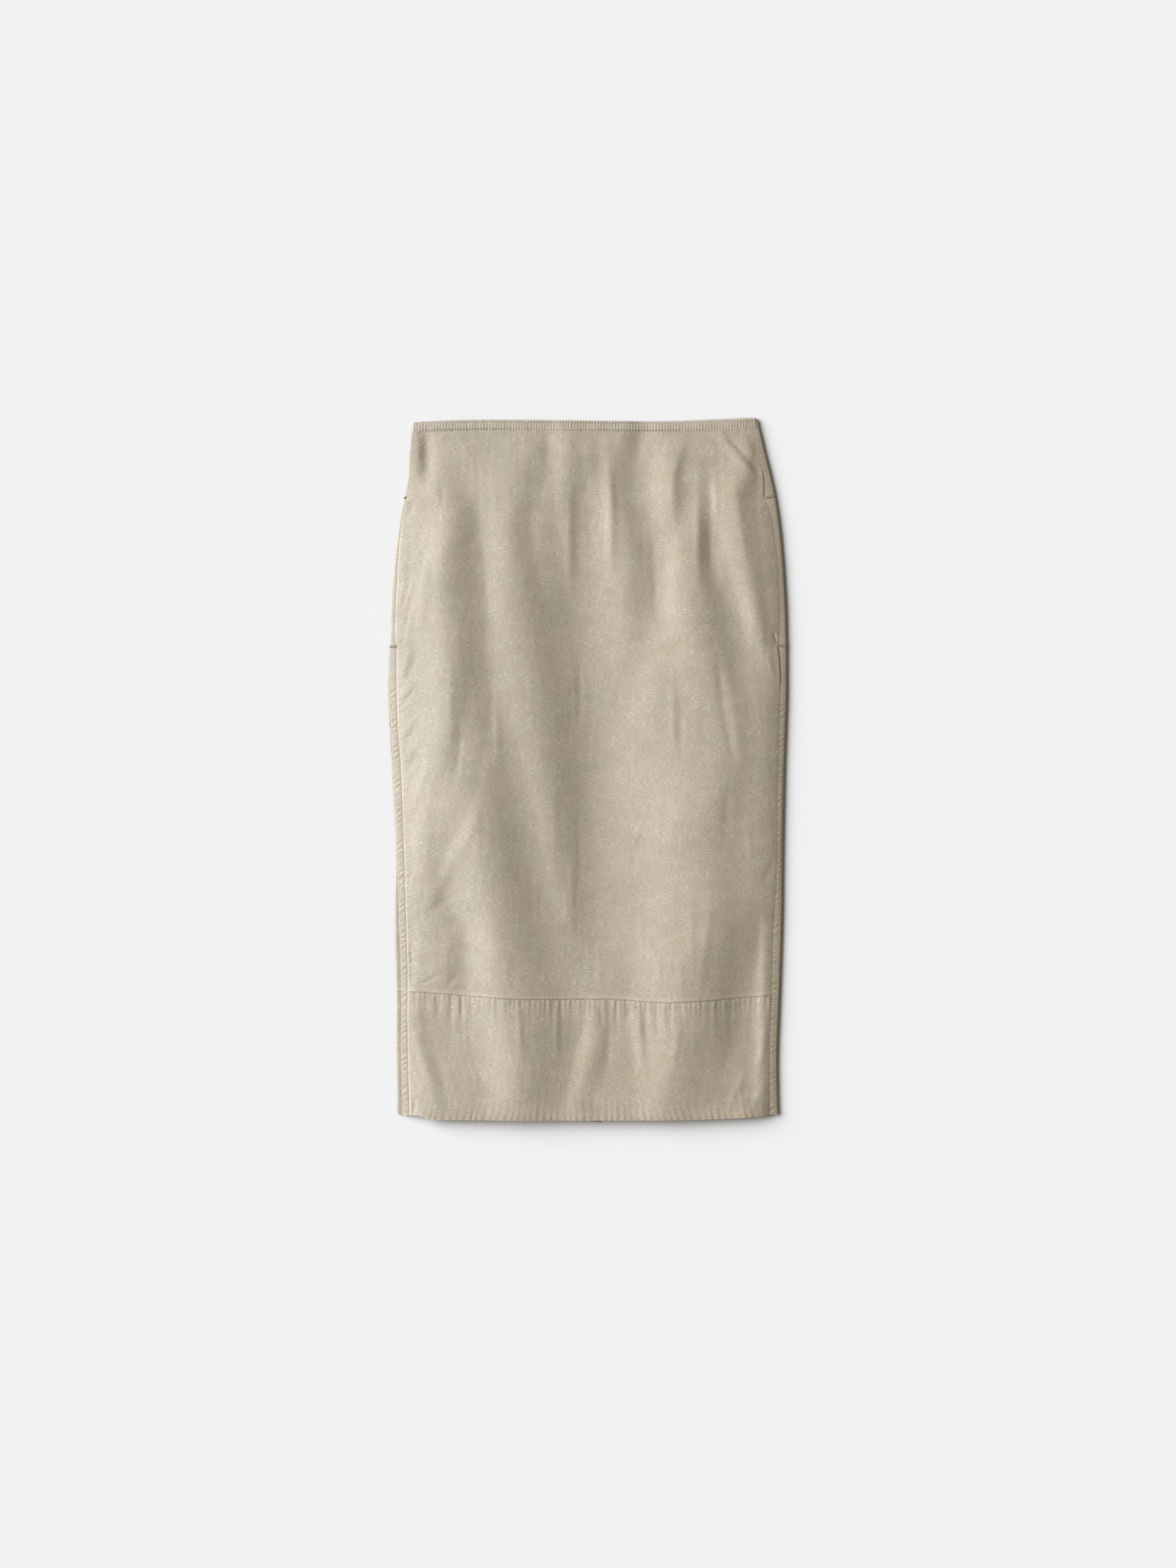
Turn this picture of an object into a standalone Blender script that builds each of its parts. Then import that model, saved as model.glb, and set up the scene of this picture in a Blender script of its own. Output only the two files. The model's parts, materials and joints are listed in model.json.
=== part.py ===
"""Long fitted skirt, closed and laid flat on its back.

The skirt is a flattened tube of cloth. Its back lies flat on the surface, wraps up round both sides in a
soft fold, and is lapped by the front panel in two felled side seams. A hem band is seamed on below, a
narrow waistband above, and two in-seam pocket bags and a closed zip lie inside.

Units are metres. +X is to the right, +Y towards the waist, +Z up off the surface that the skirt lies on.
"""

import math
from collections import namedtuple

import bmesh
import bpy
from mathutils import Vector

MM = 0.001

# Cloth and seams
WALL = 1.2 * MM
SEAM_GAP = 0.3 * MM
LAP = WALL + SEAM_GAP
FELL_WIDTH = 8.0 * MM
FELL_TUCK = 0.5 * MM

# The soft fold at each side, where the tube turns over
FOLD_RADIUS = 4.5 * MM
SHARPEST_EDGE = math.radians(15)

# The front panel rises from its side seams to the loose cloth between them
CROWN = 1.5 * MM
CROWN_RUN = 40.0 * MM
FOLD_RUN = 16.0 * MM

# Waistband, hem band and centre-back
HALF_WIDTH = 205.0 * MM
WAISTBAND_DEPTH = 12.0 * MM
BAND_SEAM_CENTRE = -254.4 * MM
BAND_SEAM_RISE = {-1: 10.6 * MM, 1: 6.0 * MM}
BAND_SEAM_BEND = 2.2
HEM_CENTRE = -385.8 * MM
HEM_RISE = 3.0 * MM
HEM_CORNER_RISE = 4.0 * MM
HEM_CORNER_START = 178.0 * MM
HEM_CORNER_RUN = 20.0 * MM
BACK_HEM_LIFT = 1.3 * MM
CENTRE_BACK = 15.0 * MM
VENT_DROP = 2.4 * MM
VENT_DROP_RUN = 26.0 * MM
VENT_UNDERLAP = 36.0 * MM
VENT_STEP_RUN = 4.0 * MM

# Pockets
POCKET_WALL = 1.0 * MM
POCKET_TOP = 326.0 * MM
POCKET_FOOT = 78.0 * MM
POCKET_REACH = 150.0 * MM
POCKET_ENDS = 42.0 * MM
POCKET_STEP = 6.0 * MM

# Zip
ZIP_WIDTH = 24.0 * MM
ZIP_LENGTH = 190.0 * MM
ZIP_WALL = 1.0 * MM

# Half sections of the flat tube: its side edges and the front panel's lapped edges, in millimetres
Section = namedtuple("Section", "level left_edge left_lap right_lap right_edge")
SECTIONS = [
    Section(-390, -209.9, -202.8, 206.8, 208.2),
    Section(-350, -209.8, -203.7, 205.2, 206.2),
    Section(-310, -210.6, -204.7, 204.5, 205.8),
    Section(-245, -210.7, -204.3, 207.2, 207.9),
    Section(-160, -212.5, -207.2, 211.7, 211.9),
    Section(-90, -211.3, -209.1, 213.2, 213.0),
    Section(0, -215.2, -213.5, 214.9, 215.4),
    Section(80, -219.0, -217.0, 217.6, 218.6),
    Section(128, -218.4, -217.6, 217.4, 218.6),
    Section(142, -218.1, -214.2, 213.0, 218.5),
    Section(190, -216.5, -212.3, 212.0, 217.0),
    Section(250, -211.2, -208.0, 207.4, 212.3),
    Section(290, -204.2, -202.0, 201.4, 207.3),
    Section(318, -198.9, -198.0, 199.4, 202.6),
    Section(350, -196.1, -195.4, 194.2, 195.0),
    Section(390, -191.8, -191.4, 186.0, 186.4),
]

# The waist edge, seen from above, in millimetres
WaistPoint = namedtuple("WaistPoint", "across level")
WAIST_EDGE = [
    WaistPoint(-200, 382.2),
    WaistPoint(-150, 384.9),
    WaistPoint(-95, 385.6),
    WaistPoint(20, 384.4),
    WaistPoint(95, 383.7),
    WaistPoint(150, 385.5),
    WaistPoint(200, 387.4),
]

# The largest folds of the front, each a soft ridge or trough from its head down to its foot, in millimetres
Fold = namedtuple("Fold", "name head middle foot height left right")
FOLDS = [
    Fold("left hip", (-158, 330), (-156, 150), (-162, -30), 5.0, 38, 30),
    Fold("left thigh", (-84, 345), (-60, 165), (-26, -60), 3.4, 42, 34),
    Fold("centre hollow", (0, 250), (8, 50), (14, -210), -2.4, 34, 60),
    Fold("right waist", (112, 345), (112, 200), (130, 80), 4.0, 34, 22),
    Fold("right hip", (156, 345), (172, 235), (190, 100), 3.0, 24, 20),
    Fold("right thigh", (142, 90), (136, -60), (138, -180), 4.4, 58, 36),
    Fold("right hem", (136, -60), (122, -215), (94, -400), 4.2, 55, 42),
    Fold("left hem", (-118, 70), (-110, -130), (-84, -400), 4.4, 40, 34),
]
FOLD_FADE = 0.3

CLOTH_COLOUR = (0.50, 0.45, 0.38, 1.0)
POCKET_COLOUR = (0.42, 0.36, 0.29, 1.0)
ZIP_COLOUR = (0.46, 0.41, 0.34, 1.0)

LEFT, RIGHT = -1, 1


def clear_scene():
    for item in list(bpy.data.objects):
        bpy.data.objects.remove(item, do_unlink=True)


def make_material(name, colour, roughness):
    material = bpy.data.materials.new(name)
    material.use_nodes = True
    shader = material.node_tree.nodes["Principled BSDF"]
    shader.inputs["Base Color"].default_value = colour
    shader.inputs["Roughness"].default_value = roughness
    shader.inputs["Metallic"].default_value = 0.0
    material.diffuse_color = colour
    return material


def lerp(start, end, share):
    return start + (end - start) * share


def steps(start, end, count):
    return [lerp(start, end, index / count) for index in range(count + 1)]


def ease(share):
    """Runs smoothly from 0 to 1 while its argument does, and stays there outside."""
    share = min(max(share, 0.0), 1.0)
    return share * share * (3.0 - 2.0 * share)


def along(rows, place, key, value):
    """Reads a column of a table of millimetres at a place between its rows, as a smooth curve."""
    keys = [getattr(row, key) * MM for row in rows]
    values = [getattr(row, value) * MM for row in rows]
    place = min(max(place, keys[0]), keys[-1])
    last = len(keys) - 1
    low = max(index for index in range(last) if keys[index] <= place)
    slopes = []
    for index in (low, low + 1):
        before, after = max(index - 1, 0), min(index + 1, last)
        slopes.append((values[after] - values[before]) / (keys[after] - keys[before]))
    span = keys[low + 1] - keys[low]
    share = (place - keys[low]) / span
    square, cube = share * share, share * share * share
    return (
        (2 * cube - 3 * square + 1) * values[low]
        + (cube - 2 * square + share) * span * slopes[0]
        + (3 * square - 2 * cube) * values[low + 1]
        + (cube - square) * span * slopes[1]
    )


def side_edge(side, level):
    """How far out the tube's side edge lies."""
    return abs(along(SECTIONS, level, "level", "left_edge" if side == LEFT else "right_edge"))


def fold_centre(side, level):
    """How far out the centre of the side fold lies."""
    return side_edge(side, level) - FOLD_RADIUS


def lap_edge(side, level):
    """How far out the front panel's lapped edge lies."""
    return abs(along(SECTIONS, level, "level", "left_lap" if side == LEFT else "right_lap"))


def waist_edge(across):
    return along(WAIST_EDGE, across, "across", "level")


def waist_seam(across):
    return waist_edge(across) - WAISTBAND_DEPTH


def band_seam(across):
    rise = BAND_SEAM_RISE[LEFT if across < 0 else RIGHT]
    return BAND_SEAM_CENTRE + rise * (abs(across) / HALF_WIDTH) ** BAND_SEAM_BEND


def hem_edge(across):
    corner = HEM_CORNER_RISE * ease((abs(across) - HEM_CORNER_START) / HEM_CORNER_RUN)
    return HEM_CENTRE + HEM_RISE * (abs(across) / HALF_WIDTH) ** 3 + corner


def back_hem_edge(across):
    return hem_edge(across) + BACK_HEM_LIFT


def vent_hem_edge(across):
    """The left back's hem, which hangs a little low at the corner of the vent."""
    drop = VENT_DROP + BACK_HEM_LIFT
    return back_hem_edge(across) - drop * ease((across - CENTRE_BACK) / VENT_DROP_RUN + 1.0)


def above(line):
    return lambda across: line(across) + SEAM_GAP / 2


def below(line):
    return lambda across: line(across) - SEAM_GAP / 2


def panel_shares():
    """Rows of the front and back panels from band seam to waist seam, close together where the mouths end."""
    shares = steps(0.0, 0.58, 12) + steps(0.58, 0.66, 4) + steps(0.66, 0.86, 4) + steps(0.86, 0.94, 4) + [1.0]
    return sorted(set(shares))


def fold_height(fold, across, level):
    """One fold's height at a place, rising or sinking smoothly over its own two widths."""
    (head_x, head_y), (middle_x, middle_y), (foot_x, foot_y) = (
        (x * MM, y * MM) for x, y in (fold.head, fold.middle, fold.foot)
    )
    if not foot_y < level < head_y:
        return 0.0
    head = (level - middle_y) * (level - foot_y) / ((head_y - middle_y) * (head_y - foot_y))
    middle = (level - head_y) * (level - foot_y) / ((middle_y - head_y) * (middle_y - foot_y))
    foot = (level - head_y) * (level - middle_y) / ((foot_y - head_y) * (foot_y - middle_y))
    offset = across - (head * head_x + middle * middle_x + foot * foot_x)
    reach = (fold.left if offset < 0 else fold.right) * MM
    if abs(offset) >= reach:
        return 0.0
    fade = FOLD_FADE * (head_y - foot_y)
    strength = ease((head_y - level) / fade) * ease((level - foot_y) / fade)
    return fold.height * MM * strength * 0.5 * (1.0 + math.cos(math.pi * offset / reach))


def front_height(across, level):
    """The outside of the front panel between its side seams."""
    side = LEFT if across < 0 else RIGHT
    inset = lap_edge(side, level) - FELL_WIDTH - abs(across)
    rise = CROWN * ease(inset / CROWN_RUN)
    folds = sum(fold_height(fold, across, level) for fold in FOLDS)
    return 2 * FOLD_RADIUS + LAP + rise + folds * ease(inset / FOLD_RUN)


def fell_point(side, level, inset, depth):
    """A point of the front panel's lapped margin, its inset measured inwards from the lapped edge."""
    centre, edge = fold_centre(side, level), lap_edge(side, level)
    outside = FOLD_RADIUS + LAP
    cosine = min((edge - centre) / outside, math.cos(SHARPEST_EDGE))
    turn = math.acos(cosine) if cosine > 0 else math.pi / 2
    round_run = outside * (math.pi / 2 - turn)
    if inset < round_run:
        angle = turn + inset / outside
        radius = outside - depth
        return Vector((side * (centre + radius * math.cos(angle)), level, FOLD_RADIUS + radius * math.sin(angle)))
    start = min(edge, centre)
    return Vector((side * (start - inset + round_run), level, FOLD_RADIUS + outside - depth))


def front_point(lower, upper, column, share, depth):
    """A point of a front piece; columns from 0 to 1 lie between the side seams, and the rest in them."""
    rough = lerp(-HALF_WIDTH, HALF_WIDTH, min(max(column, 0.0), 1.0))
    level = lerp(lower(rough), upper(rough), share)
    if column <= 0:
        return fell_point(LEFT, level, FELL_WIDTH * (1.0 + column), depth)
    if column >= 1:
        return fell_point(RIGHT, level, FELL_WIDTH * (2.0 - column), depth)
    left = fell_point(LEFT, level, FELL_WIDTH, 0.0).x
    right = fell_point(RIGHT, level, FELL_WIDTH, 0.0).x
    across = lerp(left, right, column)
    step = MM
    slope_x = (front_height(across + step, level) - front_height(across - step, level)) / (2 * step)
    slope_y = (front_height(across, level + step) - front_height(across, level - step)) / (2 * step)
    normal = Vector((-slope_x, -slope_y, 1.0)).normalized()
    return Vector((across, level, front_height(across, level))) - normal * depth


def back_point(side, inner, lower, upper, column, share, depth):
    """A point of a piece that lies on the surface and wraps up round one side.

    Columns from 0 to 1 lie flat, from 1 to 2 turn round the side fold, and from 2 to 3 lie under the lap.
    """
    rough = lerp(inner, side * HALF_WIDTH, min(column, 1.0))
    level = lerp(lower(rough), upper(rough), share)
    centre = side * fold_centre(side, level)
    if column <= 1:
        return Vector((lerp(inner, centre, column), level, depth))
    if column <= 2:
        angle = (column - 1.5) * math.pi
        radius = FOLD_RADIUS - depth
        return Vector((centre + side * radius * math.cos(angle), level, FOLD_RADIUS + radius * math.sin(angle)))
    end = fell_point(side, level, FELL_WIDTH - FELL_TUCK, 0.0).x
    return Vector((lerp(centre, end, column - 2), level, 2 * FOLD_RADIUS - depth))


def cloth_object(name, place, columns, rows, skins, material):
    """Closes a cloth wall between its outside and its inside, given as two depths."""
    mesh = bmesh.new()
    outside, inside = (
        [[mesh.verts.new(place(column, row, depth)) for column in columns] for row in rows] for depth in skins
    )
    height, width = len(rows), len(columns)
    for row in range(height - 1):
        for column in range(width - 1):
            for skin in (outside, inside):
                corners = ((row, column), (row, column + 1), (row + 1, column + 1), (row + 1, column))
                mesh.faces.new([skin[r][c] for r, c in corners])
    rim = [(0, c) for c in range(width)]
    rim += [(r, width - 1) for r in range(1, height)]
    rim += [(height - 1, c) for c in range(width - 2, -1, -1)]
    rim += [(r, 0) for r in range(height - 2, 0, -1)]
    for (r, c), (next_r, next_c) in zip(rim, rim[1:] + rim[:1]):
        mesh.faces.new([outside[r][c], outside[next_r][next_c], inside[next_r][next_c], inside[r][c]])
    bmesh.ops.recalc_face_normals(mesh, faces=mesh.faces)
    data = bpy.data.meshes.new(name)
    mesh.to_mesh(data)
    mesh.free()
    data.materials.append(material)
    item = bpy.data.objects.new(name, data)
    bpy.context.scene.collection.objects.link(item)
    return item


def front_pieces(cloth):
    """The front panel with its hem band and waistband, one above the other."""
    margin = (0.0, 0.2, 0.4, 0.6)
    columns = [share - 1.0 for share in margin] + steps(0.0, 1.0, 28) + [2.0 - share for share in reversed(margin)]
    pieces = (
        ("front_panel", above(band_seam), below(waist_seam), panel_shares()),
        ("hem_band_front", hem_edge, below(band_seam), steps(0.0, 1.0, 6)),
        ("waistband_front", above(waist_seam), waist_edge, steps(0.0, 1.0, 2)),
    )
    for name, lower, upper, rows in pieces:
        cloth_object(
            name,
            lambda column, share, depth, low=lower, high=upper: front_point(low, high, column, share, depth),
            columns,
            rows,
            (0.0, WALL),
            cloth(name),
        )


def back_pieces(cloth):
    """Both halves of the back, with their waistbands and the left half of the hem band."""
    columns = [0.0, 0.3, 0.6, 0.85] + steps(1.0, 2.0, 6) + [3.0]
    for side, word in ((LEFT, "left"), (RIGHT, "right")):
        inner = CENTRE_BACK + side * SEAM_GAP / 2
        pieces = [
            (f"back_panel_{word}", above(band_seam), below(waist_seam), panel_shares()),
            (f"waistband_back_{word}", above(waist_seam), waist_edge, steps(0.0, 1.0, 2)),
        ]
        if side == LEFT:
            pieces.append(("hem_band_back_left", vent_hem_edge, below(band_seam), steps(0.0, 1.0, 6)))
        for name, lower, upper, rows in pieces:
            cloth_object(
                name,
                lambda column, share, depth, low=lower, high=upper, edge=inner, way=side: back_point(
                    way, edge, low, high, column, share, depth
                ),
                columns if "hem" not in name else [0.0, 0.1] + columns[1:],
                rows,
                (0.0, WALL),
                cloth(name),
            )


def right_hem_band(cloth):
    """The right half of the back hem band, which steps up and runs under the left half at the vent."""
    start = CENTRE_BACK + SEAM_GAP / 2
    flat_start = start + VENT_STEP_RUN

    def place(column, share, depth):
        if column >= 0:
            return back_point(RIGHT, flat_start, back_hem_edge, below(band_seam), column, share, depth)
        across = lerp(flat_start, CENTRE_BACK - VENT_UNDERLAP, -column)
        level = lerp(back_hem_edge(across), below(band_seam)(across), share)
        step_up = LAP * ease((flat_start - across) / (VENT_STEP_RUN - SEAM_GAP))
        return Vector((across, level, step_up + depth))

    step_share = VENT_STEP_RUN / (flat_start - CENTRE_BACK + VENT_UNDERLAP)
    columns = [-1.0, -0.55] + [-step_share * share for share in (0.9, 0.65, 0.35)]
    columns += [0.0, 0.3, 0.6, 0.85] + steps(1.0, 2.0, 6) + [3.0]
    cloth_object("hem_band_back_right", place, columns, steps(0.0, 1.0, 6), (0.0, WALL), cloth("hem_band_back_right"))


def pocket_bags(material):
    """A flat bag inside each side seam, from the pocket mouth round the side fold onto the back."""
    middle, half = (POCKET_TOP + POCKET_FOOT) / 2, (POCKET_TOP - POCKET_FOOT) / 2
    skins = (LAP, LAP + POCKET_WALL)
    for side, word in ((LEFT, "left"), (RIGHT, "right")):
        foot, head = above(band_seam)(side * HALF_WIDTH), below(waist_seam)(side * HALF_WIDTH)
        levels = [lerp(foot, head, share) for share in panel_shares()]
        levels = [level for level in levels if POCKET_FOOT + POCKET_STEP < level < POCKET_TOP - POCKET_STEP]
        rows = [POCKET_FOOT, POCKET_FOOT + POCKET_STEP / 2] + levels + [POCKET_TOP - POCKET_STEP / 2, POCKET_TOP]

        def place(column, level, depth, way=side):
            swell = math.sqrt(max(0.0, 1.0 - ((level - middle) / half) ** 2))
            reach = lerp(POCKET_ENDS, POCKET_REACH, swell)
            inner = way * (fold_centre(way, level) - reach)
            return back_point(way, inner, lambda _: level, lambda _: level, column, 0.0, depth)

        columns = [0.0, 0.35, 0.7] + steps(1.0, 2.0, 6) + [3.0]
        cloth_object(f"pocket_bag_{word}", place, columns, rows, skins, material(f"pocket_bag_{word}"))


def back_zip(material):
    """The closed zip, flat inside the centre-back seam from the waist edge down."""

    def place(column, share, depth):
        across = CENTRE_BACK + ZIP_WIDTH * (column - 0.5)
        top = waist_edge(across)
        return Vector((across, lerp(top - ZIP_LENGTH, top, share), depth))

    cloth_object("back_zip", place, steps(0.0, 1.0, 4), steps(0.0, 1.0, 6), (LAP, LAP + ZIP_WALL), material("back_zip"))


def main():
    clear_scene()

    def cloth(name):
        return make_material(f"{name}_cloth", CLOTH_COLOUR, 0.9)

    def pocketing(name):
        return make_material(f"{name}_cloth", POCKET_COLOUR, 0.85)

    def tape(name):
        return make_material(f"{name}_tape", ZIP_COLOUR, 0.7)

    front_pieces(cloth)
    back_pieces(cloth)
    right_hem_band(cloth)
    pocket_bags(pocketing)
    back_zip(tape)


main()
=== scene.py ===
"""Looks of a long fitted skirt, closed and laid flat on its back.

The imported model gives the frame. Every cloth piece is laid here as a fine sheet on the form of its solid,
given its thickness, and sewn: felled side seams, a narrow waistband, a hem band, bar tacks at the pocket
mouths. Lengths in the tables, and in ridges, puckers, streaks and stretches, are millimetres; everything
else is metres, with +Z up off the surface.
"""

from __future__ import annotations

import json
import logging
import math
from dataclasses import dataclass, field
from enum import Enum
from typing import Callable, NamedTuple

import bpy
import numpy as np
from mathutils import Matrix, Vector

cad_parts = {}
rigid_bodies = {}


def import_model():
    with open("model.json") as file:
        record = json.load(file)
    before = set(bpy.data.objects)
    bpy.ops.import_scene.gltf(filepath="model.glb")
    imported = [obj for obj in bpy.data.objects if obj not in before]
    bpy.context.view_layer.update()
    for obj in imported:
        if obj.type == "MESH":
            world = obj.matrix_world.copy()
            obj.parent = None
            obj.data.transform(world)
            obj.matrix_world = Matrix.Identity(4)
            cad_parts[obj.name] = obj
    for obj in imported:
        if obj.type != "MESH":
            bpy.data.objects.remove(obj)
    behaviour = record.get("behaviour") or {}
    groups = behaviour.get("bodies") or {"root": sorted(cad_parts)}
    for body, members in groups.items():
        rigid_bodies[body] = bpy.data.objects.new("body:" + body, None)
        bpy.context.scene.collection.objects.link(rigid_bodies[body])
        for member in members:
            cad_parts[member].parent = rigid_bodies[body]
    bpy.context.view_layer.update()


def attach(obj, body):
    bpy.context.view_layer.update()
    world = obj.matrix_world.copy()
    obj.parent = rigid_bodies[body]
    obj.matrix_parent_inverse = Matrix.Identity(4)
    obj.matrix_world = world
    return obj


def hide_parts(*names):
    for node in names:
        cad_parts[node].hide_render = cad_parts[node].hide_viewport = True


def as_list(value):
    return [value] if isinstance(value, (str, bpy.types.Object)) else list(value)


LOG = logging.getLogger("skirt")

MM = 0.001
UP = (0.0, 0.0, 1.0)
Array = np.ndarray
Line = Callable[[Array], Array]
Points = tuple[Array, Array, Array]
Place = Callable[[Array, Array], Points]
Colour = tuple[float, float, float, float]
Grain = tuple[Array, list[list[int]]]
Span = tuple[float, float]
Size = tuple[float, float, float]
Piece = bpy.types.Object
Material = bpy.types.Material
Socket = bpy.types.NodeSocket


class Side(Enum):
    """A side of the skirt, as seen from above, with its sign along X."""

    LEFT = -1
    RIGHT = 1

    @property
    def word(self) -> str:
        """The side's name in lower case."""
        return self.name.lower()


class Pair(NamedTuple):
    """One value for the left side and one for the right."""

    left: float
    right: float

    def at(self, side: Side) -> float:
        """The value for one side."""
        return self.left if side is Side.LEFT else self.right

    def where(self, across: Array) -> Array:
        """The value of the side on which each place lies."""
        return np.where(across < 0, self.left, self.right)


class Section(NamedTuple):
    """The flat tube at one level: its side edges and the front's lapped edges, in millimetres."""

    level: float
    left_edge: float
    left_lap: float
    right_lap: float
    right_edge: float


class EdgePoint(NamedTuple):
    """A point of the waist edge or of the band seam, in millimetres."""

    across: float
    level: float


class InnerRow(NamedTuple):
    """Where the side seams' inner rows of stitches run at one level, in millimetres."""

    level: float
    left: float
    right: float


class OuterRow(NamedTuple):
    """How far inwards of the lapped edge the right seam's outer row runs at one level."""

    level: float
    inset: float


class Loft(NamedTuple):
    """How high the front stands above its side seams at one level, in millimetres."""

    level: float
    left: float
    right: float


class Crest(NamedTuple):
    """A fold at one level, in millimetres: where its crest lies, its height and its reach to both sides."""

    level: float
    across: float
    height: float
    left: float
    right: float


class Fold(NamedTuple):
    """A soft ridge, or a trough where its height is negative, from foot to head."""

    name: str
    crests: tuple[Crest, ...]


def fold(name: str, *crests: tuple[float, ...]) -> Fold:
    """A fold from the numbers of its crests, from foot to head."""
    return Fold(name, tuple(Crest(*crest) for crest in crests))


class Crease(NamedTuple):
    """A small soft ridge between two points, or a furrow where its height is negative, in millimetres."""

    across: float
    level: float
    to_across: float
    to_level: float
    reach: float
    height: float
    bow: float = 0.0


class SeamSide(NamedTuple):
    """How strongly one side seam puckers on its strip and on its panel, its reach there and its slant."""

    strip: float
    panel: float
    run: float
    slant: float


class Ridge(NamedTuple):
    """A ridge, step or rolled edge along a seam, or a groove: height, width and place, in millimetres."""

    height: float
    width: float
    place: float = 0.0

    def soft(self, offset: Array) -> Array:
        """Its height as a soft bump about its place."""
        return self.height * MM * bell(offset - self.place * MM, self.width)

    def sharp(self, offset: Array) -> Array:
        """Its height as it fades away on both sides of a sharp line."""
        return self.height * MM * fade(np.abs(offset), self.width)

    def rolled(self, inset: Array) -> Array:
        """Its height as it falls away towards a cut edge."""
        return self.height * MM * (1.0 - held(inset / (self.width * MM))) ** 2


class Puckers(NamedTuple):
    """A run of puckers: height, mean pitch and reach from their seam, in millimetres, and their phase."""

    height: float
    pitch: float
    run: float
    phase: float


class Streak(NamedTuple):
    """A set of soft streaks: its strength, pitch in millimetres, phase and how it follows the drift."""

    share: float
    pitch: float
    phase: float
    follow: float


class Stretch(NamedTuple):
    """A stretch of a seam, in millimetres: where it begins and ends, and how softly."""

    foot: float
    foot_run: float
    head: float
    head_run: float

    def share(self, level: Array) -> Array:
        """How far each level lies within the stretch, from 0 outside it to 1."""
        begun = ease((level - self.foot * MM) / (self.foot_run * MM))
        return begun * ease((self.head * MM - level) / (self.head_run * MM))


SECTIONS = (
    Section(-390, -209.9, -202.8, 209.2, 207.7), Section(-350, -209.8, -203.7, 207.8, 206.3),
    Section(-310, -210.6, -204.7, 207.6, 206.1), Section(-245, -210.7, -204.3, 210.1, 208.6),
    Section(-160, -212.5, -207.2, 212.8, 211.3), Section(-90, -211.3, -208.9, 213.6, 212.1),
    Section(0, -216, -213.2, 215.4, 214.2), Section(80, -220, -217, 218, 217.3),
    Section(128, -219.2, -217.6, 218.1, 217.4), Section(142, -218.1, -217.5, 218, 217.3),
    Section(190, -216.5, -215.8, 216.5, 215.8), Section(250, -210.8, -210.2, 212.3, 211.2),
    Section(290, -204.2, -203.6, 207.3, 206.2), Section(318, -198.1, -197.5, 201.9, 200.8),
    Section(350, -196.6, -195.4, 194.1, 193), Section(390, -191.8, -191.4, 184.3, 183.2),
)

WAIST_EDGE = (
    EdgePoint(-200, 382.0), EdgePoint(-150, 383.8), EdgePoint(-95, 384.4), EdgePoint(20, 383.3),
    EdgePoint(95, 382.8), EdgePoint(150, 384.6), EdgePoint(200, 386.7),
)

BAND_SEAM = (
    EdgePoint(-215, -243.5), EdgePoint(-160, -246.4), EdgePoint(-110, -250.4),
    EdgePoint(-60, -252.5), EdgePoint(25, -252.7), EdgePoint(80, -256.0), EdgePoint(120, -254.7),
    EdgePoint(160, -251.6), EdgePoint(215, -247.3),
)

INNER_ROW = (
    InnerRow(-390, -195.6, 200.1), InnerRow(-340, -197.1, 199.9), InnerRow(-300, -197.8, 200.2),
    InnerRow(-268, -198.4, 201.4), InnerRow(-235, -197.9, 202.3), InnerRow(-180, -199.1, 203.6),
    InnerRow(-120, -200.9, 207.3), InnerRow(-74, -202.5, 208.6), InnerRow(-28, -204.0, 208.6),
    InnerRow(8, -205.7, 210.0), InnerRow(44, -208.4, 210.9), InnerRow(70, -209.7, 211.4),
    InnerRow(102, -210.2, 212.1), InnerRow(118, -210.2, 211.2), InnerRow(128, -210.2, 210.4),
    InnerRow(136, -210.4, 209.4), InnerRow(145, -211.9, 210.4), InnerRow(158, -211.8, 211.2),
    InnerRow(190, -210.5, 210.8), InnerRow(210, -209.4, 210.0), InnerRow(228, -208.8, 208.9),
    InnerRow(250, -206.7, 206.1), InnerRow(270, -204.4, 203.1), InnerRow(287, -202.4, 198.9),
    InnerRow(299, -199.6, 194.8), InnerRow(320, -196.5, 193.9), InnerRow(342, -195.0, 190.2),
    InnerRow(365, -193.0, 187.4), InnerRow(390, -190.2, 183.0),
)

OUTER_ROW = (
    OuterRow(-390, 3.4), OuterRow(-180, 3.0), OuterRow(-100, 1.5), OuterRow(-60, 0.9),
    OuterRow(60, 1.6), OuterRow(120, 2.0), OuterRow(300, 2.0), OuterRow(322, 3.0),
    OuterRow(390, 3.0),
)

LOFT = (
    Loft(-390, 7.4, 9.2), Loft(-300, 5.4, 5.0), Loft(-150, 6.0, 5.4), Loft(0, 6.8, 5.8),
    Loft(150, 6.8, 5.6), Loft(260, 5.6, 4.8), Loft(330, 3.4, 3.4), Loft(390, 2.2, 1.8),
)

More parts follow.
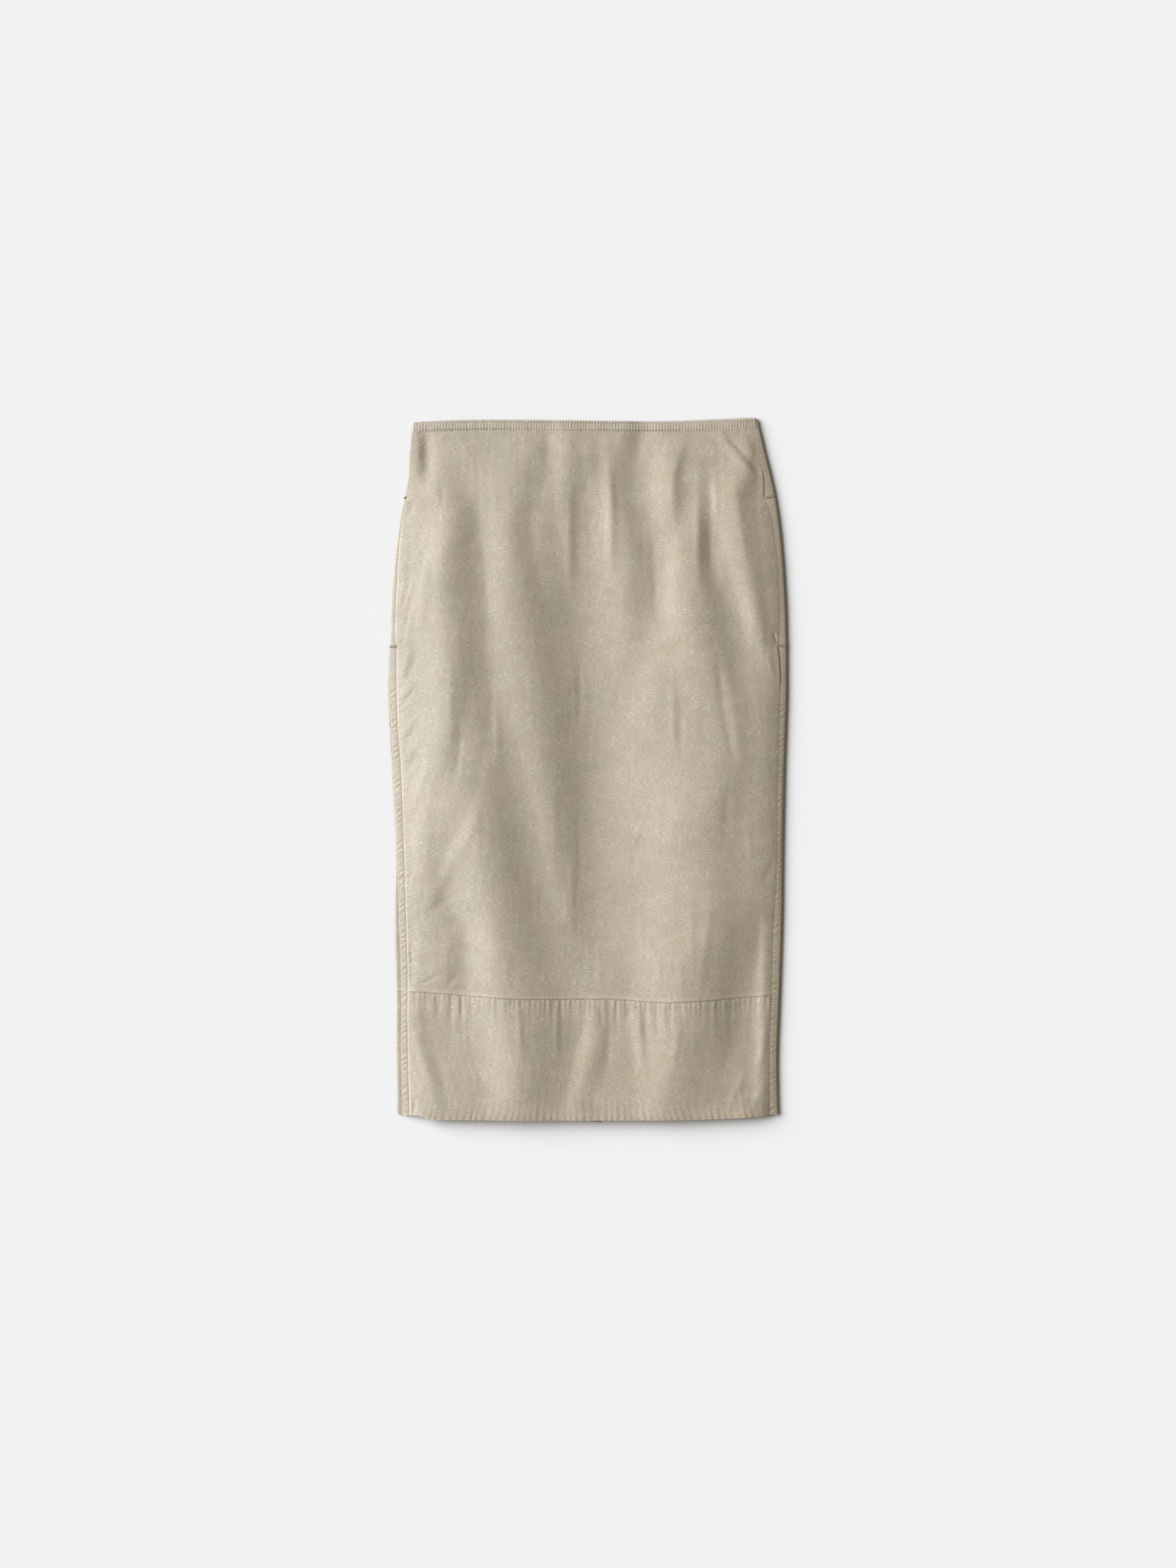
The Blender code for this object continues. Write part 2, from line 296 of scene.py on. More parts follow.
FOLDS = (
    fold("left hip", (-150, -176, 0, 34, 24), (-100, -172, 1.6, 34, 30), (-60, -164, 3.6, 36, 32),
        (-20, -158, 5.8, 38, 38), (20, -153, 8, 42, 44), (60, -150, 9, 44, 48), (100, -150, 8.2, 44, 50),
        (140, -152, 7.2, 42, 48), (180, -155, 6.2, 40, 48), (220, -157, 6.8, 36, 48),
        (260, -151, 5.8, 38, 38), (285, -151, 4, 34, 34), (305, -158, 2.2, 28, 30), (330, -158, 0.8, 28, 22),
        (350, -156, 0, 28, 22)),
    fold("left thigh", (-400, -78, 2, 38, 56), (-370, -76, 4.6, 42, 60), (-340, -75, 8, 46, 66),
        (-300, -78, 9.6, 56, 72), (-260, -85, 9.2, 54, 80), (-220, -94, 9.8, 46, 84),
        (-180, -97, 10.2, 46, 74), (-140, -105, 11, 56, 70), (-100, -112, 11, 62, 68),
        (-60, -120, 10.4, 54, 68), (-20, -122, 8.4, 44, 60), (20, -116, 6, 34, 46), (55, -114, 3.2, 28, 34),
        (90, -112, 0.6, 24, 30), (110, -112, 0, 24, 30)),
    fold("left front", (-230, -22, 0, 34, 30), (-180, -25, 0.8, 36, 32), (-140, -26, 1.1, 40, 34),
        (-100, -36, 1.3, 44, 42), (-60, -42, 1.6, 48, 46), (-20, -50, 1.9, 50, 50), (20, -62, 2.3, 48, 58),
        (60, -66, 2.5, 44, 56), (100, -72, 2.7, 40, 54), (140, -78, 2.9, 36, 50), (180, -82, 3.3, 34, 44),
        (225, -84, 3.9, 34, 32), (260, -87, 4, 36, 30), (295, -84, 3.6, 44, 34), (325, -78, 2.8, 54, 38),
        (350, -68, 1.8, 56, 34), (375, -66, 0.4, 56, 34)),
    fold("centre hollow", (-250, 24, 0, 50, 50), (-220, 22, -0.8, 50, 56), (-180, 20, -3.4, 54, 66),
        (-140, 20, -4.8, 58, 76), (-80, 16, -6.6, 62, 84), (-20, 17, -8.6, 68, 84), (20, 16, -9.4, 74, 84),
        (60, 14, -9.8, 74, 84), (100, 8, -9.4, 72, 84), (140, 2, -9.2, 72, 80), (180, -2, -8.2, 72, 76),
        (220, -3, -6.4, 70, 66), (260, 0, -4.6, 64, 46), (300, 4, -2.6, 54, 38), (345, 8, -1, 36, 36),
        (375, 8, 0, 30, 30)),
    fold("right hollow", (60, 44, 0, 26, 36), (100, 56, -1.4, 30, 34), (140, 66, -3, 34, 30),
        (180, 72, -4.4, 36, 28), (220, 74, -4, 36, 28), (250, 70, -3.3, 34, 32), (280, 62, -3.6, 34, 36),
        (305, 55, -4, 34, 42), (330, 56, -3.7, 32, 40), (350, 58, -3.2, 28, 32), (372, 60, -2, 22, 24),
        (392, 62, -0.7, 22, 22)),
    fold("waist left of middle", (205, -20, 0, 16, 14), (245, -22, 0.8, 16, 16), (285, -23, 1.2, 18, 18),
        (305, -22, 1.5, 20, 22), (325, -20, 1.9, 22, 30), (345, -20, 2.3, 24, 34), (368, -25, 1.8, 20, 32),
        (390, -28, 0.8, 16, 30)),
    fold("waist middle", (180, 30, 0, 22, 16), (220, 26, 0.4, 22, 18), (260, 22, 0.7, 20, 18),
        (300, 18, 0.7, 18, 16), (325, 16, 0.7, 16, 16), (345, 18, 0.5, 16, 16), (370, 22, 0, 14, 16)),
    fold("waist right of middle", (258, 94, 0, 22, 16), (285, 93, 1.2, 24, 16), (305, 92, 2, 26, 18),
        (328, 92, 1.9, 26, 16), (350, 98, 1.1, 26, 16), (372, 104, 0, 26, 14)),
    fold("right front", (-400, 84, 1, 40, 44), (-370, 88, 3.4, 40, 50), (-340, 92, 6, 46, 58),
        (-300, 100, 7.6, 58, 66), (-260, 105, 8, 66, 70), (-220, 111, 8.8, 74, 74), (-180, 124, 8, 80, 64),
        (-140, 129, 7, 80, 62), (-100, 126, 5.6, 76, 62), (-60, 125, 6, 72, 60), (-20, 137, 5.2, 72, 50),
        (20, 140, 3.6, 66, 46), (60, 142, 3.4, 60, 44), (95, 133, 4.6, 56, 44), (120, 128, 5.2, 48, 42),
        (145, 120, 4.6, 38, 42), (180, 114, 4, 32, 42), (220, 112, 3.3, 30, 34), (245, 113, 2.5, 30, 30),
        (268, 115, 1.3, 26, 26), (290, 118, 0, 24, 18)),
    fold("hip crease", (65, 192, 0, 36, 18), (105, 186, -0.9, 36, 18), (125, 180, -2, 36, 22),
        (145, 172, -2.5, 34, 24), (165, 165, -2.6, 34, 26), (185, 159, -2.3, 34, 28),
        (205, 149, -1.9, 28, 32), (225, 140, -1.7, 22, 26), (245, 138, -1.5, 20, 22),
        (265, 137, -1.2, 18, 18), (290, 130, 0, 14, 14)),
    fold("right hip", (120, 192, 0, 14, 14), (160, 185, 1.2, 18, 16), (180, 181, 1.6, 18, 18),
        (200, 178, 1.8, 20, 20), (220, 172, 2, 22, 24), (240, 168, 2.5, 24, 25), (260, 165, 2.8, 24, 26),
        (280, 162, 3.2, 26, 27), (300, 160, 3.2, 30, 27), (320, 168, 2.4, 32, 25), (338, 175, 1.7, 32, 15),
        (358, 182, 0.9, 30, 10), (380, 183, 0, 26, 10)),
    fold("right hem hollow", (-390, 158, 0, 36, 34), (-370, 162, -2, 38, 34), (-345, 170, -3.2, 40, 30),
        (-320, 175, -3.8, 42, 26), (-280, 177, -3.8, 42, 22), (-240, 180, -3, 42, 18),
        (-200, 184, -2.2, 40, 16), (-170, 186, -1, 36, 16), (-150, 186, 0, 36, 16)),
    fold("side dent rim", (-255, -154, 0, 20, 26), (-235, -155, 0.6, 20, 26), (-215, -157, 0.9, 22, 28),
        (-190, -158, 0.7, 22, 28), (-170, -160, 0.2, 20, 24), (-155, -161, 0, 20, 20)),
    fold("left hem hollow", (-345, -150, 0, 24, 40), (-320, -160, -1.4, 24, 44), (-290, -170, -2.6, 20, 50),
        (-260, -174, -2, 20, 46), (-230, -174, 0, 20, 36)),
    fold("hem middle crest", (-400, -12, 0.4, 20, 22), (-365, -10, 1.1, 20, 22), (-345, -4, 1.5, 20, 22),
        (-325, 1, 1.8, 20, 22), (-305, 6, 2, 20, 22), (-285, 9, 1.8, 16, 20), (-265, 9, 1.1, 12, 18),
        (-245, 9, 0, 12, 18)),
    fold("hem small crest", (-345, 62, 0, 12, 10), (-292, 57, 0.9, 12, 10), (-272, 56, 1, 12, 9),
        (-250, 52, 0, 12, 10)),
    fold("waist corner dent", (308, -174, 0, 14, 44), (330, -175, -1.3, 13, 48), (355, -176, -1.9, 13, 52),
        (376, -178, -0.3, 12, 50)),
    fold("waist corner crease", (316, 190, 0, 14, 7), (330, 178, 0.8, 14, 8), (345, 164, 1, 14, 8),
        (360, 152, 0.8, 14, 8), (374, 144, 0, 14, 8)),
)

CREASES = tuple(Crease(*row) for row in (
    (-189, 328, -175, 321, 3, -0.5), (-178, 380, -175, 314, 9, -2.1), (-197, 277, -206, 150, 4, -0.5, -5),
    (-190, 202, -204, 134, 3, -0.45), (-176, 232, -184, 150, 6, 0.63), (-174, 249, -183, 222, 2.5, -0.3),
    (-191, 299, -195, 277, 3, -0.5), (-162, 317, -160, 281, 3, -0.5, -2), (-166, 361, -150, 371, 1.8, 0.25),
    (-119, 330, -117, 268, 2.5, -0.2), (-114, 214, -105, 150, 3, -0.25), (-133, 362, -134, 318, 3, 0.17),
    (-126, 350, -125, 316, 2.5, 0.15), (-143, 350, -144, 326, 3, 0.15), (-101, 312, -101, 266, 4, 0.35),
    (-85, 364, -83, 344, 5, 0.25), (-46, 374, -45, 326, 6, -0.5), (-20, 312, -19, 184, 5, 0.63),
    (-13, 364, -11, 344, 4, -0.3), (-27, 370, -24, 354, 3, -0.25), (24, 352, 27, 212, 5.5, 1.4),
    (3, 375, 3, 298, 7, 0.9), (57, 376, 55, 334, 6, -0.5), (84, 367, 83, 349, 3, -0.3),
    (108, 363, 96, 262, 5, 0.45, 8), (121, 346, 121, 190, 5, 0.85), (133, 342, 136, 188, 4.5, -0.75),
    (139, 329, 142, 272, 3, 0.45), (147, 353, 147, 328, 2.5, 0.25, -4), (161, 323, 181, 203, 5, 0.59, 3),
    (150, 371, 191, 323, 4, -0.67), (168, 373, 184, 344, 4, 0.4), (95, 369.5, 146, 372, 1.3, -0.25),
    (186, 281, 197, 294, 2, 0.25), (72, 266, 75, 160, 4, -0.45), (147, 246, 150, 194, 5, 0.25),
    (-205, 99, -193, 136, 3, 0.4), (-200, 94, -186, 129, 3, -0.4), (-207, 67, -190, 87, 2.5, -0.45),
    (-206, 78, -184, 101, 3, 0.3), (-205, 27, -186, 47, 3, -0.45), (-204, 39, -182, 63, 4, 0.35),
    (-203, 4, -178, 43, 4, 0.4), (-202, -9, -188, 13, 3, -0.2), (-199, -62, -170, 22, 5, 0.5),
    (-149, 126, -150, 24, 4, 0.4), (-138, 62, -150, -28, 4, -0.5, -3), (-113, -38, -184, -166, 7.5, 0.9),
    (-130, -60, -138, -86, 2, -0.25), (-100, 81, -98, -2, 3.5, 0.46), (-9, 142, -8, 48, 4, -0.4),
    (-10, -38, -8, -137, 3, -0.3), (-36, 2, -38, -112, 4, 0.25), (-18, -90, -17, -180, 4, 0.4),
    (-197, -127, -192, -110, 2, -0.3), (37, 101, 30, 64, 3, -0.25), (93, 112, 94, 18, 4, 0.5),
    (102, 77, 102, 8, 4, -0.5), (119, 92, 119, 18, 4, 0.3), (141, 136, 152, 34, 4, -0.5),
    (152, 58, 160, 4, 4, -0.4), (150, 126, 166, 18, 5, 0.59), (165, 118, 169, -25, 10, 0.9),
    (197, 126, 206, 96, 3, 0.4), (-193.5, -150, -192.5, -246, 4, -0.45), (203.3, 151, 209.2, 135, 1.2, -1.2),
    (153, -12, 152, -87, 5, -0.5), (173, -48, 179, -98, 3, 0.25), (64, -47, 47, -93, 3, 0.25),
    (51, -80, 50, -119, 3, -0.25), (86, -14, 85, -82, 4, -0.25), (203, -99, 190, -133, 4, -0.4),
    (12, -184, 14, -246, 3, 0.25), (113, -139, 114, -231, 3.5, 0.3), (136, -139, 121, -246, 5, 0.45),
    (102, -204, 103, -248, 3.5, 0.3), (79, -199, 78, -250, 4, 0.25), (47, -231, 48, -249, 2.5, -0.2),
    (14, -256, 15, -285, 3, -0.45), (30, -257, 31, -286, 3, -0.3), (46, -256, 45, -275, 2.5, -0.4),
    (62, -258, 62, -309, 4, -0.46), (75, -258, 78, -297, 3, -0.45), (88, -259, 88, -286, 2.5, -0.25),
    (103, -258, 104, -286, 2.5, -0.25), (59, -266, 59, -336, 4, 0.4), (106, -257, 88, -349, 5, 0.5),
    (197, -261, 180, -349, 5, 0.55, -4), (176, -330, 154, -382, 4, 0.5, 4), (178, -330, 183, -396, 9, -1.4),
    (196, -350, 180, -382, 4, 0.5, 5), (173, -348, 172, -360, 2.5, -0.4),
    (-180, -163, -140, -138, 4, -0.45, -4), (-184, -152, -183, -171, 2.5, -0.35),
    (-197, -165, -181, -195, 3, -0.45), (-196, -195, -191, -215, 2.5, -0.45),
    (-155, -178, -154, -229, 6, 0.35), (-186, -239, -157, -224, 2.5, -0.45, -2),
    (-157, -240, -140, -222, 3.5, -0.5), (-142, -159, -140, -191, 4, 0.25), (-90, -199, -87, -243, 4, 0.4),
    (-105, -214, -106, -247, 3, 0.25), (-118, -221, -116, -247, 2.5, -0.2), (-24, -126, -22, -171, 3.5, 0.4),
    (-163, -247, -165, -277, 3.5, -0.4), (-149, -247, -151, -283, 3.5, -0.45),
    (-137, -249, -138, -276, 2.5, -0.4), (-125, -250, -127, -271, 2.5, -0.25),
    (-88, -253, -88, -276, 2.5, -0.25), (-75, -256, -73, -327, 4, 0.55), (-35, -256, -34, -322, 3.5, 0.45),
    (-191, -290, -163, -380, 6, 0.71, -2), (-176, -295, -150, -380, 5, -0.5, -2),
    (-196, -327, -182, -361, 2.5, -0.35), (-190, -359, -190, -382, 2.2, -0.84),
    (-192, -268, -184, -292, 2.5, -0.35), (-85, -358, -86, -372, 2, -0.25), (22, -280, 22, -340, 5, -0.4),
))

SEAM_SIDES = {
    Side.LEFT: SeamSide(0.30, 0.26, 8.0, 0.5),
    Side.RIGHT: SeamSide(0.24, 0.10, 6.0, 0.2),
}


def held(share: Array) -> Array:
    """Holds a share between 0 and 1."""
    return np.clip(share, 0.0, 1.0)


def ease(share: Array) -> Array:
    """Runs smoothly from 0 to 1 while its argument does, and stays there outside."""
    share = held(share)
    return share * share * (3.0 - 2.0 * share)


def bell(offset: Array, width: float) -> Array:
    """A soft bump of height 1, which falls to about a third at a width in millimetres."""
    return np.exp(-((offset / (width * MM)) ** 2))


def fade(distance: Array, run: float) -> Array:
    """Fades from 1 at a line over a run in millimetres, and stays 1 before the line."""
    return np.exp(-np.maximum(distance, 0.0) / (run * MM))


def between(share: Array, left: Array, right: Array) -> Array:
    """Runs from the left value to the right one."""
    return left * (1.0 - share) + right * share


def along(rows: tuple[NamedTuple, ...], place: Array, key: str, value: str) -> Array:
    """Reads a column of a table at places between its rows, as a smooth curve.

    Args:
        rows: The table, in millimetres, in rising order of its key.
        place: Where to read, in metres.
        key: The column that place is measured in.
        value: The column to read.

    Returns:
        The values in metres.
    """
    keys = np.array([getattr(row, key) for row in rows]) * MM
    values = np.array([getattr(row, value) for row in rows]) * MM
    place = np.clip(place, keys[0], keys[-1])
    low = np.clip(np.searchsorted(keys, place, side="right") - 1, 0, len(keys) - 2)
    before = np.maximum(np.arange(len(keys)) - 1, 0)
    after = np.minimum(np.arange(len(keys)) + 1, len(keys) - 1)
    slopes = (values[after] - values[before]) / (keys[after] - keys[before])
    span = keys[low + 1] - keys[low]
    share = (place - keys[low]) / span
    square, cube = share**2, share**3
    return (
        (2 * cube - 3 * square + 1) * values[low]
        + (cube - 2 * square + share) * span * slopes[low]
        + (3 * square - 2 * cube) * values[low + 1]
        + (cube - square) * span * slopes[low + 1]
    )


@dataclass
class SkirtForm:
    """The shape in which the skirt lies: cut lines, side folds, seams and the loose cloth of the front."""

    wall: float = 0.6 * MM
    lap: float = 0.7 * MM
    fold_radius: float = 2.15 * MM
    fold_reach: Pair = Pair(2.8 * MM, 1.2 * MM)
    lap_wrap: Pair = Pair(0.75, 0.35)
    half_width: float = 205.0 * MM
    centre_back: float = 15.0 * MM
    waistband_depth: float = 12.0 * MM
    waist_rows: Span = (2.8 * MM, 10.3 * MM)

    loft_run: float = 34.0 * MM
    fold_run: float = 16.0 * MM
    crease_run: float = 5.0 * MM
    resting_height: float = 2.3 * MM
    resting_blend: float = 0.35 * MM
    streak: float = 0.034 * MM
    streaks: tuple[Streak, ...] = (Streak(1.0, 12.5, 0.7, 1.0), Streak(0.8, 8.3, 3.1, -0.6))

    hem_centre: float = -384.9 * MM
    hem_rise: Pair = Pair(1.3 * MM, 4.8 * MM)
    hem_corner_rise: Pair = Pair(4.0 * MM, 1.0 * MM)
    hem_corner_start: Pair = Pair(178.0 * MM, 190.0 * MM)
    hem_corner_run: float = 20.0 * MM
    back_hem_lift: float = 1.3 * MM
    vent_drop: float = 4.9 * MM
    vent_drop_run: float = 34.0 * MM

    band_ridge: Ridge = Ridge(0.40, 1.3, 2.3)
    band_groove: Ridge = Ridge(-0.35, 0.7)
    band_pucker: Puckers = Puckers(0.27, 5.5, 8.0, 0.4)
    band_gather: Puckers = Puckers(0.36, 11.5, 17.0, 2.9)
    band_gather_start: float = 2.4 * MM
    waist_step: Ridge = Ridge(0.45, 0.8)
    waist_groove: Ridge = Ridge(-0.12, 0.5)
    waist_row_groove: Ridge = Ridge(-0.22, 0.55)
    waist_bars: Puckers = Puckers(0.32, 3.2, 0.0, 1.3)
    waist_bar_stretch: Stretch = Stretch(2.2, 1.4, 11.0, 1.4)
    waist_pucker: Puckers = Puckers(0.13, 6.3, 5.0, 3.7)
    waist_roll: Ridge = Ridge(-0.9, 1.3)
    hem_pucker: Puckers = Puckers(0.32, 7.4, 10.0, 2.2)
    hem_roll: Ridge = Ridge(-0.8, 1.3)

    valley: Ridge = Ridge(-0.25, 0.5)
    bulge: float = 0.40 * MM
    bulge_run: float = 0.5 * MM
    seam_depth: Pair = Pair(1.0, 0.3)
    seam_stretch: Span = (1.2 * MM, 3.5 * MM)
    side_pitch: float = 6.2 * MM
    side_start: float = 1.4 * MM
    left_outer_row: float = 1.1 * MM
    strip_crown: float = 0.10 * MM
    strip_rise: Pair = Pair(1.7 * MM, 1.4 * MM)
    strip_pitch: float = 6.6 * MM
    strip_full: float = 6.0 * MM
    strip_roll: Ridge = Ridge(-0.35, 0.8)
    strip_row: Ridge = Ridge(-0.18, 0.5)
    facing: Stretch = Stretch(88.0, 4.0, 336.0, 200.0)
    facing_share: float = 0.8
    mouth_foot: Stretch = Stretch(89.3, 9.0, 138.0, 7.0)
    mouth_head: Stretch = Stretch(299.0, 4.0, 334.0, 12.0)
    mouth_bulge: Ridge = Ridge(0.9, 3.5)
    unsewn: Span = (137.5 * MM, 299.0 * MM)

    def side_edge(self, side: Side, level: Array) -> Array:
        """How far out the tube's side edge lies."""
        return np.abs(along(SECTIONS, level, "level", f"{side.word}_edge"))

    def fold_centre(self, side: Side, level: Array) -> Array:
        """How far out the centre of the side fold lies."""
        return self.side_edge(side, level) - self.fold_reach.at(side)

    def lap_edge(self, side: Side, level: Array) -> Array:
        """How far out the front's lapped edge lies."""
        return np.abs(along(SECTIONS, level, "level", f"{side.word}_lap"))

    def inner_row(self, side: Side, level: Array) -> Array:
        """How far out the seam's inner row of stitches runs, where its strip meets the panel."""
        return np.abs(along(INNER_ROW, level, "level", side.word))

    def outer_row(self, side: Side, level: Array) -> Array:
        """How far inwards of the lapped edge the seam's outer row of stitches runs."""
        right = along(OUTER_ROW, level, "level", "inset")
        return right if side is Side.RIGHT else np.full_like(right, self.left_outer_row)

    def strip_width(self, side: Side, level: Array) -> Array:
        """How wide the lapped strip is."""
        return self.lap_edge(side, level) - self.inner_row(side, level)

    def seam_share(self, side: Side, level: Array) -> Array:
        """How deep the seam's inner row is drawn in: less where the lapped strip narrows away."""
        narrow, run = self.seam_stretch
        return self.seam_depth.at(side) * ease((self.strip_width(side, level) - narrow) / run)

    def mouth(self, side: Side, level: Array) -> Array:
        """How far the panel's edge stands open at both ends of the right pocket's mouth, between 0 and 1."""
        return (self.mouth_foot.share(level) + 0.7 * self.mouth_head.share(level)) * (side is Side.RIGHT)

    def valley_share(self, side: Side, level: Array) -> Array:
        """How far the stitched valley between strip and panel is drawn in, where 1 is usual."""
        return self.seam_share(side, level) + 1.5 * self.mouth(side, level)

    def rough_across(self, column: Array) -> Array:
        """Roughly how far along X a column of a piece lies."""
        return self.half_width * (2.0 * column - 1.0)

    def across_panel(self, share: Array, level: Array) -> Array:
        """Places across the panel, from the left inner row to the right one."""
        left, right = -self.inner_row(Side.LEFT, level), self.inner_row(Side.RIGHT, level)
        return left + (right - left) * share

    def waist_edge(self, across: Array) -> Array:
        """The level of the skirt's upper edge."""
        return along(WAIST_EDGE, across, "across", "level")

    def waist_seam(self, across: Array) -> Array:
        """The level of the seam below the waistband."""
        return self.waist_edge(across) - self.waistband_depth

    def band_seam(self, across: Array) -> Array:
        """The level of the curved seam above the hem band."""
        return along(BAND_SEAM, across, "across", "level")

    def hem_edge(self, across: Array) -> Array:
        """The level of the front's hem, which curves up a little to its corners.

        Args:
            across: Places along X.

        Returns:
            Places along Y.
        """
        past = (np.abs(across) - self.hem_corner_start.where(across)) / self.hem_corner_run
        rise = self.hem_rise.where(across) * (np.abs(across) / self.half_width) ** 3
        return self.hem_centre + rise + self.hem_corner_rise.where(across) * ease(past)

    def back_hem_edge(self, across: Array) -> Array:
        """The level of the back's hem, a little above the front's."""
        return self.hem_edge(across) + self.back_hem_lift

    def vent_hem_edge(self, across: Array) -> Array:
        """The left back's hem, which hangs a little low at the corner of the vent."""
        drop = self.vent_drop * ease((across - self.centre_back) / self.vent_drop_run + 1.0)
        return self.back_hem_edge(across) - drop

    @staticmethod
    def fold_height(fold: Fold, across: Array, level: Array) -> Array:
        """One fold's height at each place.

        Args:
            fold: The ridge or trough.
            across: Places along X.
            level: Places along Y.

        Returns:
            Heights in metres, 0 outside the fold.
        """
        crest, height, left, right = (
            along(fold.crests, level, "level", key) for key in ("across", "height", "left", "right")
        )
        offset = across - crest
        share = np.clip(offset / np.where(offset < 0, left, right), -1.0, 1.0)
        return height * 0.5 * (1.0 + np.cos(np.pi * share))

    @staticmethod
    def crease_height(crease: Crease, across: Array, level: Array) -> Array:
        """One small crease's height at each place, tapering to both its ends.

        Args:
            crease: The ridge or furrow.
            across: Places along X.
            level: Places along Y.

        Returns:
            Heights in metres.
        """
        start = np.array((crease.across, crease.level)) * MM
        run = np.array((crease.to_across, crease.to_level)) * MM - start
        length = float(np.hypot(*run))
        share = held(((across - start[0]) * run[0] + (level - start[1]) * run[1]) / length**2)
        taper = np.sin(np.pi * share)
        aside = ((across - start[0]) * run[1] - (level - start[1]) * run[0]) / length
        return crease.height * MM * taper * bell(aside - crease.bow * MM * taper, crease.reach)

    @staticmethod
    def ripple(place: Array, pitch: float, phase: float) -> Array:
        """An uneven wave along a seam, with a drift and a swell whose ratios to its pitch are odd.

        Args:
            place: Places along the seam.
            pitch: Its mean pitch.
            phase: Where its drift and swell begin.

        Returns:
            Values between -1 and 1.
        """
        turn = 2.0 * np.pi * place / pitch
        drift = 1.2 * np.sin(turn / 7.3 + phase) + 0.8 * np.sin(turn / 2.9 + 2.1 * phase + 1.0)
        swell = 0.60 + 0.40 * np.sin(turn / 5.1 + 1.7 * phase)
        return swell * np.sin(turn + drift)

    def puckered(self, place: Array, puckers: Puckers, uneven: float = 1.0, even: float = 0.0) -> Array:
        """A run of puckers, mixed from an uneven and an even wave of one pitch.

        Args:
            place: Places along the seam.
            puckers: Their pitch and phase.
            uneven: The share of the uneven wave.
            even: The share of the even one.

        Returns:
            The wave.
        """
        pitch = puckers.pitch * MM
        return uneven * self.ripple(place, pitch, puckers.phase) + even * np.sin(2.0 * np.pi * place / pitch)

    def unevenness(self, across: Array, level: Array) -> Array:
        """The slight unevenness with which the cloth lies, in long soft streaks that wander.

        Args:
            across: Places along X.
            level: Places along Y.

        Returns:
            Heights in metres.
        """
        drift = 9 * MM * np.sin(level / (61 * MM)) + 5 * MM * np.sin(level / (23 * MM) + 1.3)
        uneven = sum(
            streak.share * self.ripple(across + streak.follow * drift, streak.pitch * MM, streak.phase)
            for streak in self.streaks
        )
        swell = 0.7 + 0.3 * np.sin(level / (37 * MM) + across / (50 * MM))
        return self.streak * uneven * swell * (1.3 - 0.3 * np.sin(across / (75 * MM)))

    def front_height(self, across: Array, level: Array) -> Array:
        """The outside of the front between its side seams: loft, folds, creases, streaks and seams.

        Args:
            across: Places along X.
            level: Places along Y.

        Returns:
            Heights in metres.
        """
        left_row, right_row = self.inner_row(Side.LEFT, level), self.inner_row(Side.RIGHT, level)
        share = held((across + left_row) / (left_row + right_row))
        inset = np.maximum(np.where(across < 0, left_row + across, right_row - across), 0.0)
        loft = between(share, along(LOFT, level, "level", "left"), along(LOFT, level, "level", "right"))
        slack = 1.0 - held(inset / self.loft_run)
        bulge = self.bulge * between(share, *(self.seam_share(side, level) for side in Side))
        bulge = bulge + self.mouth_bulge.sharp(inset) * self.mouth(Side.RIGHT, level) * (across > 0)
        rise = loft * (1.0 - slack**2) + bulge * (1.0 - np.exp(-inset / self.bulge_run))
        ends = (self.strip_slope(side, self.strip_width(side, level), level) for side in Side)
        height = 2 * self.fold_radius + self.lap + between(share, *ends) + rise
        folds = sum(self.fold_height(fold, across, level) for fold in FOLDS)
        fine = sum(self.crease_height(crease, across, level) for crease in CREASES)
        fine = fine + self.unevenness(across, level)
        height = height + folds * ease(inset / self.fold_run) + fine * ease(inset / self.crease_run)
        above = (height - self.resting_height) / self.resting_blend
        resting = self.resting_height + self.resting_blend * np.logaddexp(0.0, above)
        seams = (self.band_relief, self.waist_relief, self.hem_relief)
        resting = resting + sum(relief(across, level) for relief in seams)
        return resting + self.edge_relief(across, level, inset)

    def band_relief(self, across: Array, level: Array) -> Array:
        """The ridge, groove and gathers along the seam above the hem band.

        Args:
            across: Places along X.
            level: Places along Y.

        Returns:
            Heights in metres.
        """
        band = level - self.band_seam(across)
        below = np.maximum(-band, 0.0)
        short = self.puckered(across, self.band_pucker, 0.7, 0.6)
        long = self.puckered(across, self.band_gather)
        gather = sum(
            puckers.height * MM * (wave - 0.3 * wave**2) * fade(below, puckers.run)
            for puckers, wave in ((self.band_pucker, short), (self.band_gather, long))
        )
        gather = gather * ease(below / self.band_gather_start)
        return self.band_ridge.soft(band) * (band > 0) + self.band_groove.sharp(band) + gather

    def waist_relief(self, across: Array, level: Array) -> Array:
        """The waistband's step, its rolled edge, its sewn rows, the bars between them and the puckers below.

        Args:
            across: Places along X.
            level: Places along Y.

        Returns:
            Heights in metres.
        """
        above, top = level - self.waist_seam(across), self.waist_edge(across) - level
        relief = self.waist_step.height * MM * ease(above / (self.waist_step.width * MM))
        relief += self.waist_groove.sharp(above) + self.waist_roll.rolled(top)
        relief += sum(self.waist_row_groove.soft(top - depth) for depth in self.waist_rows)
        bar = self.puckered(across, self.waist_bars, 0.45, 0.6)
        relief += self.waist_bars.height * MM * bar * self.waist_bar_stretch.share(top)
        under = self.puckered(across, self.waist_pucker) * fade(-above, self.waist_pucker.run)
        return relief + self.waist_pucker.height * MM * under * (above < 0)

    def hem_relief(self, across: Array, level: Array) -> Array:
        """The puckers above the hem and its rolled edge."""
        hem = level - self.hem_edge(across)
        pucker = self.hem_pucker.height * MM * self.hem_wave(across, hem) * fade(hem, self.hem_pucker.run)
        return pucker + self.hem_roll.rolled(hem)

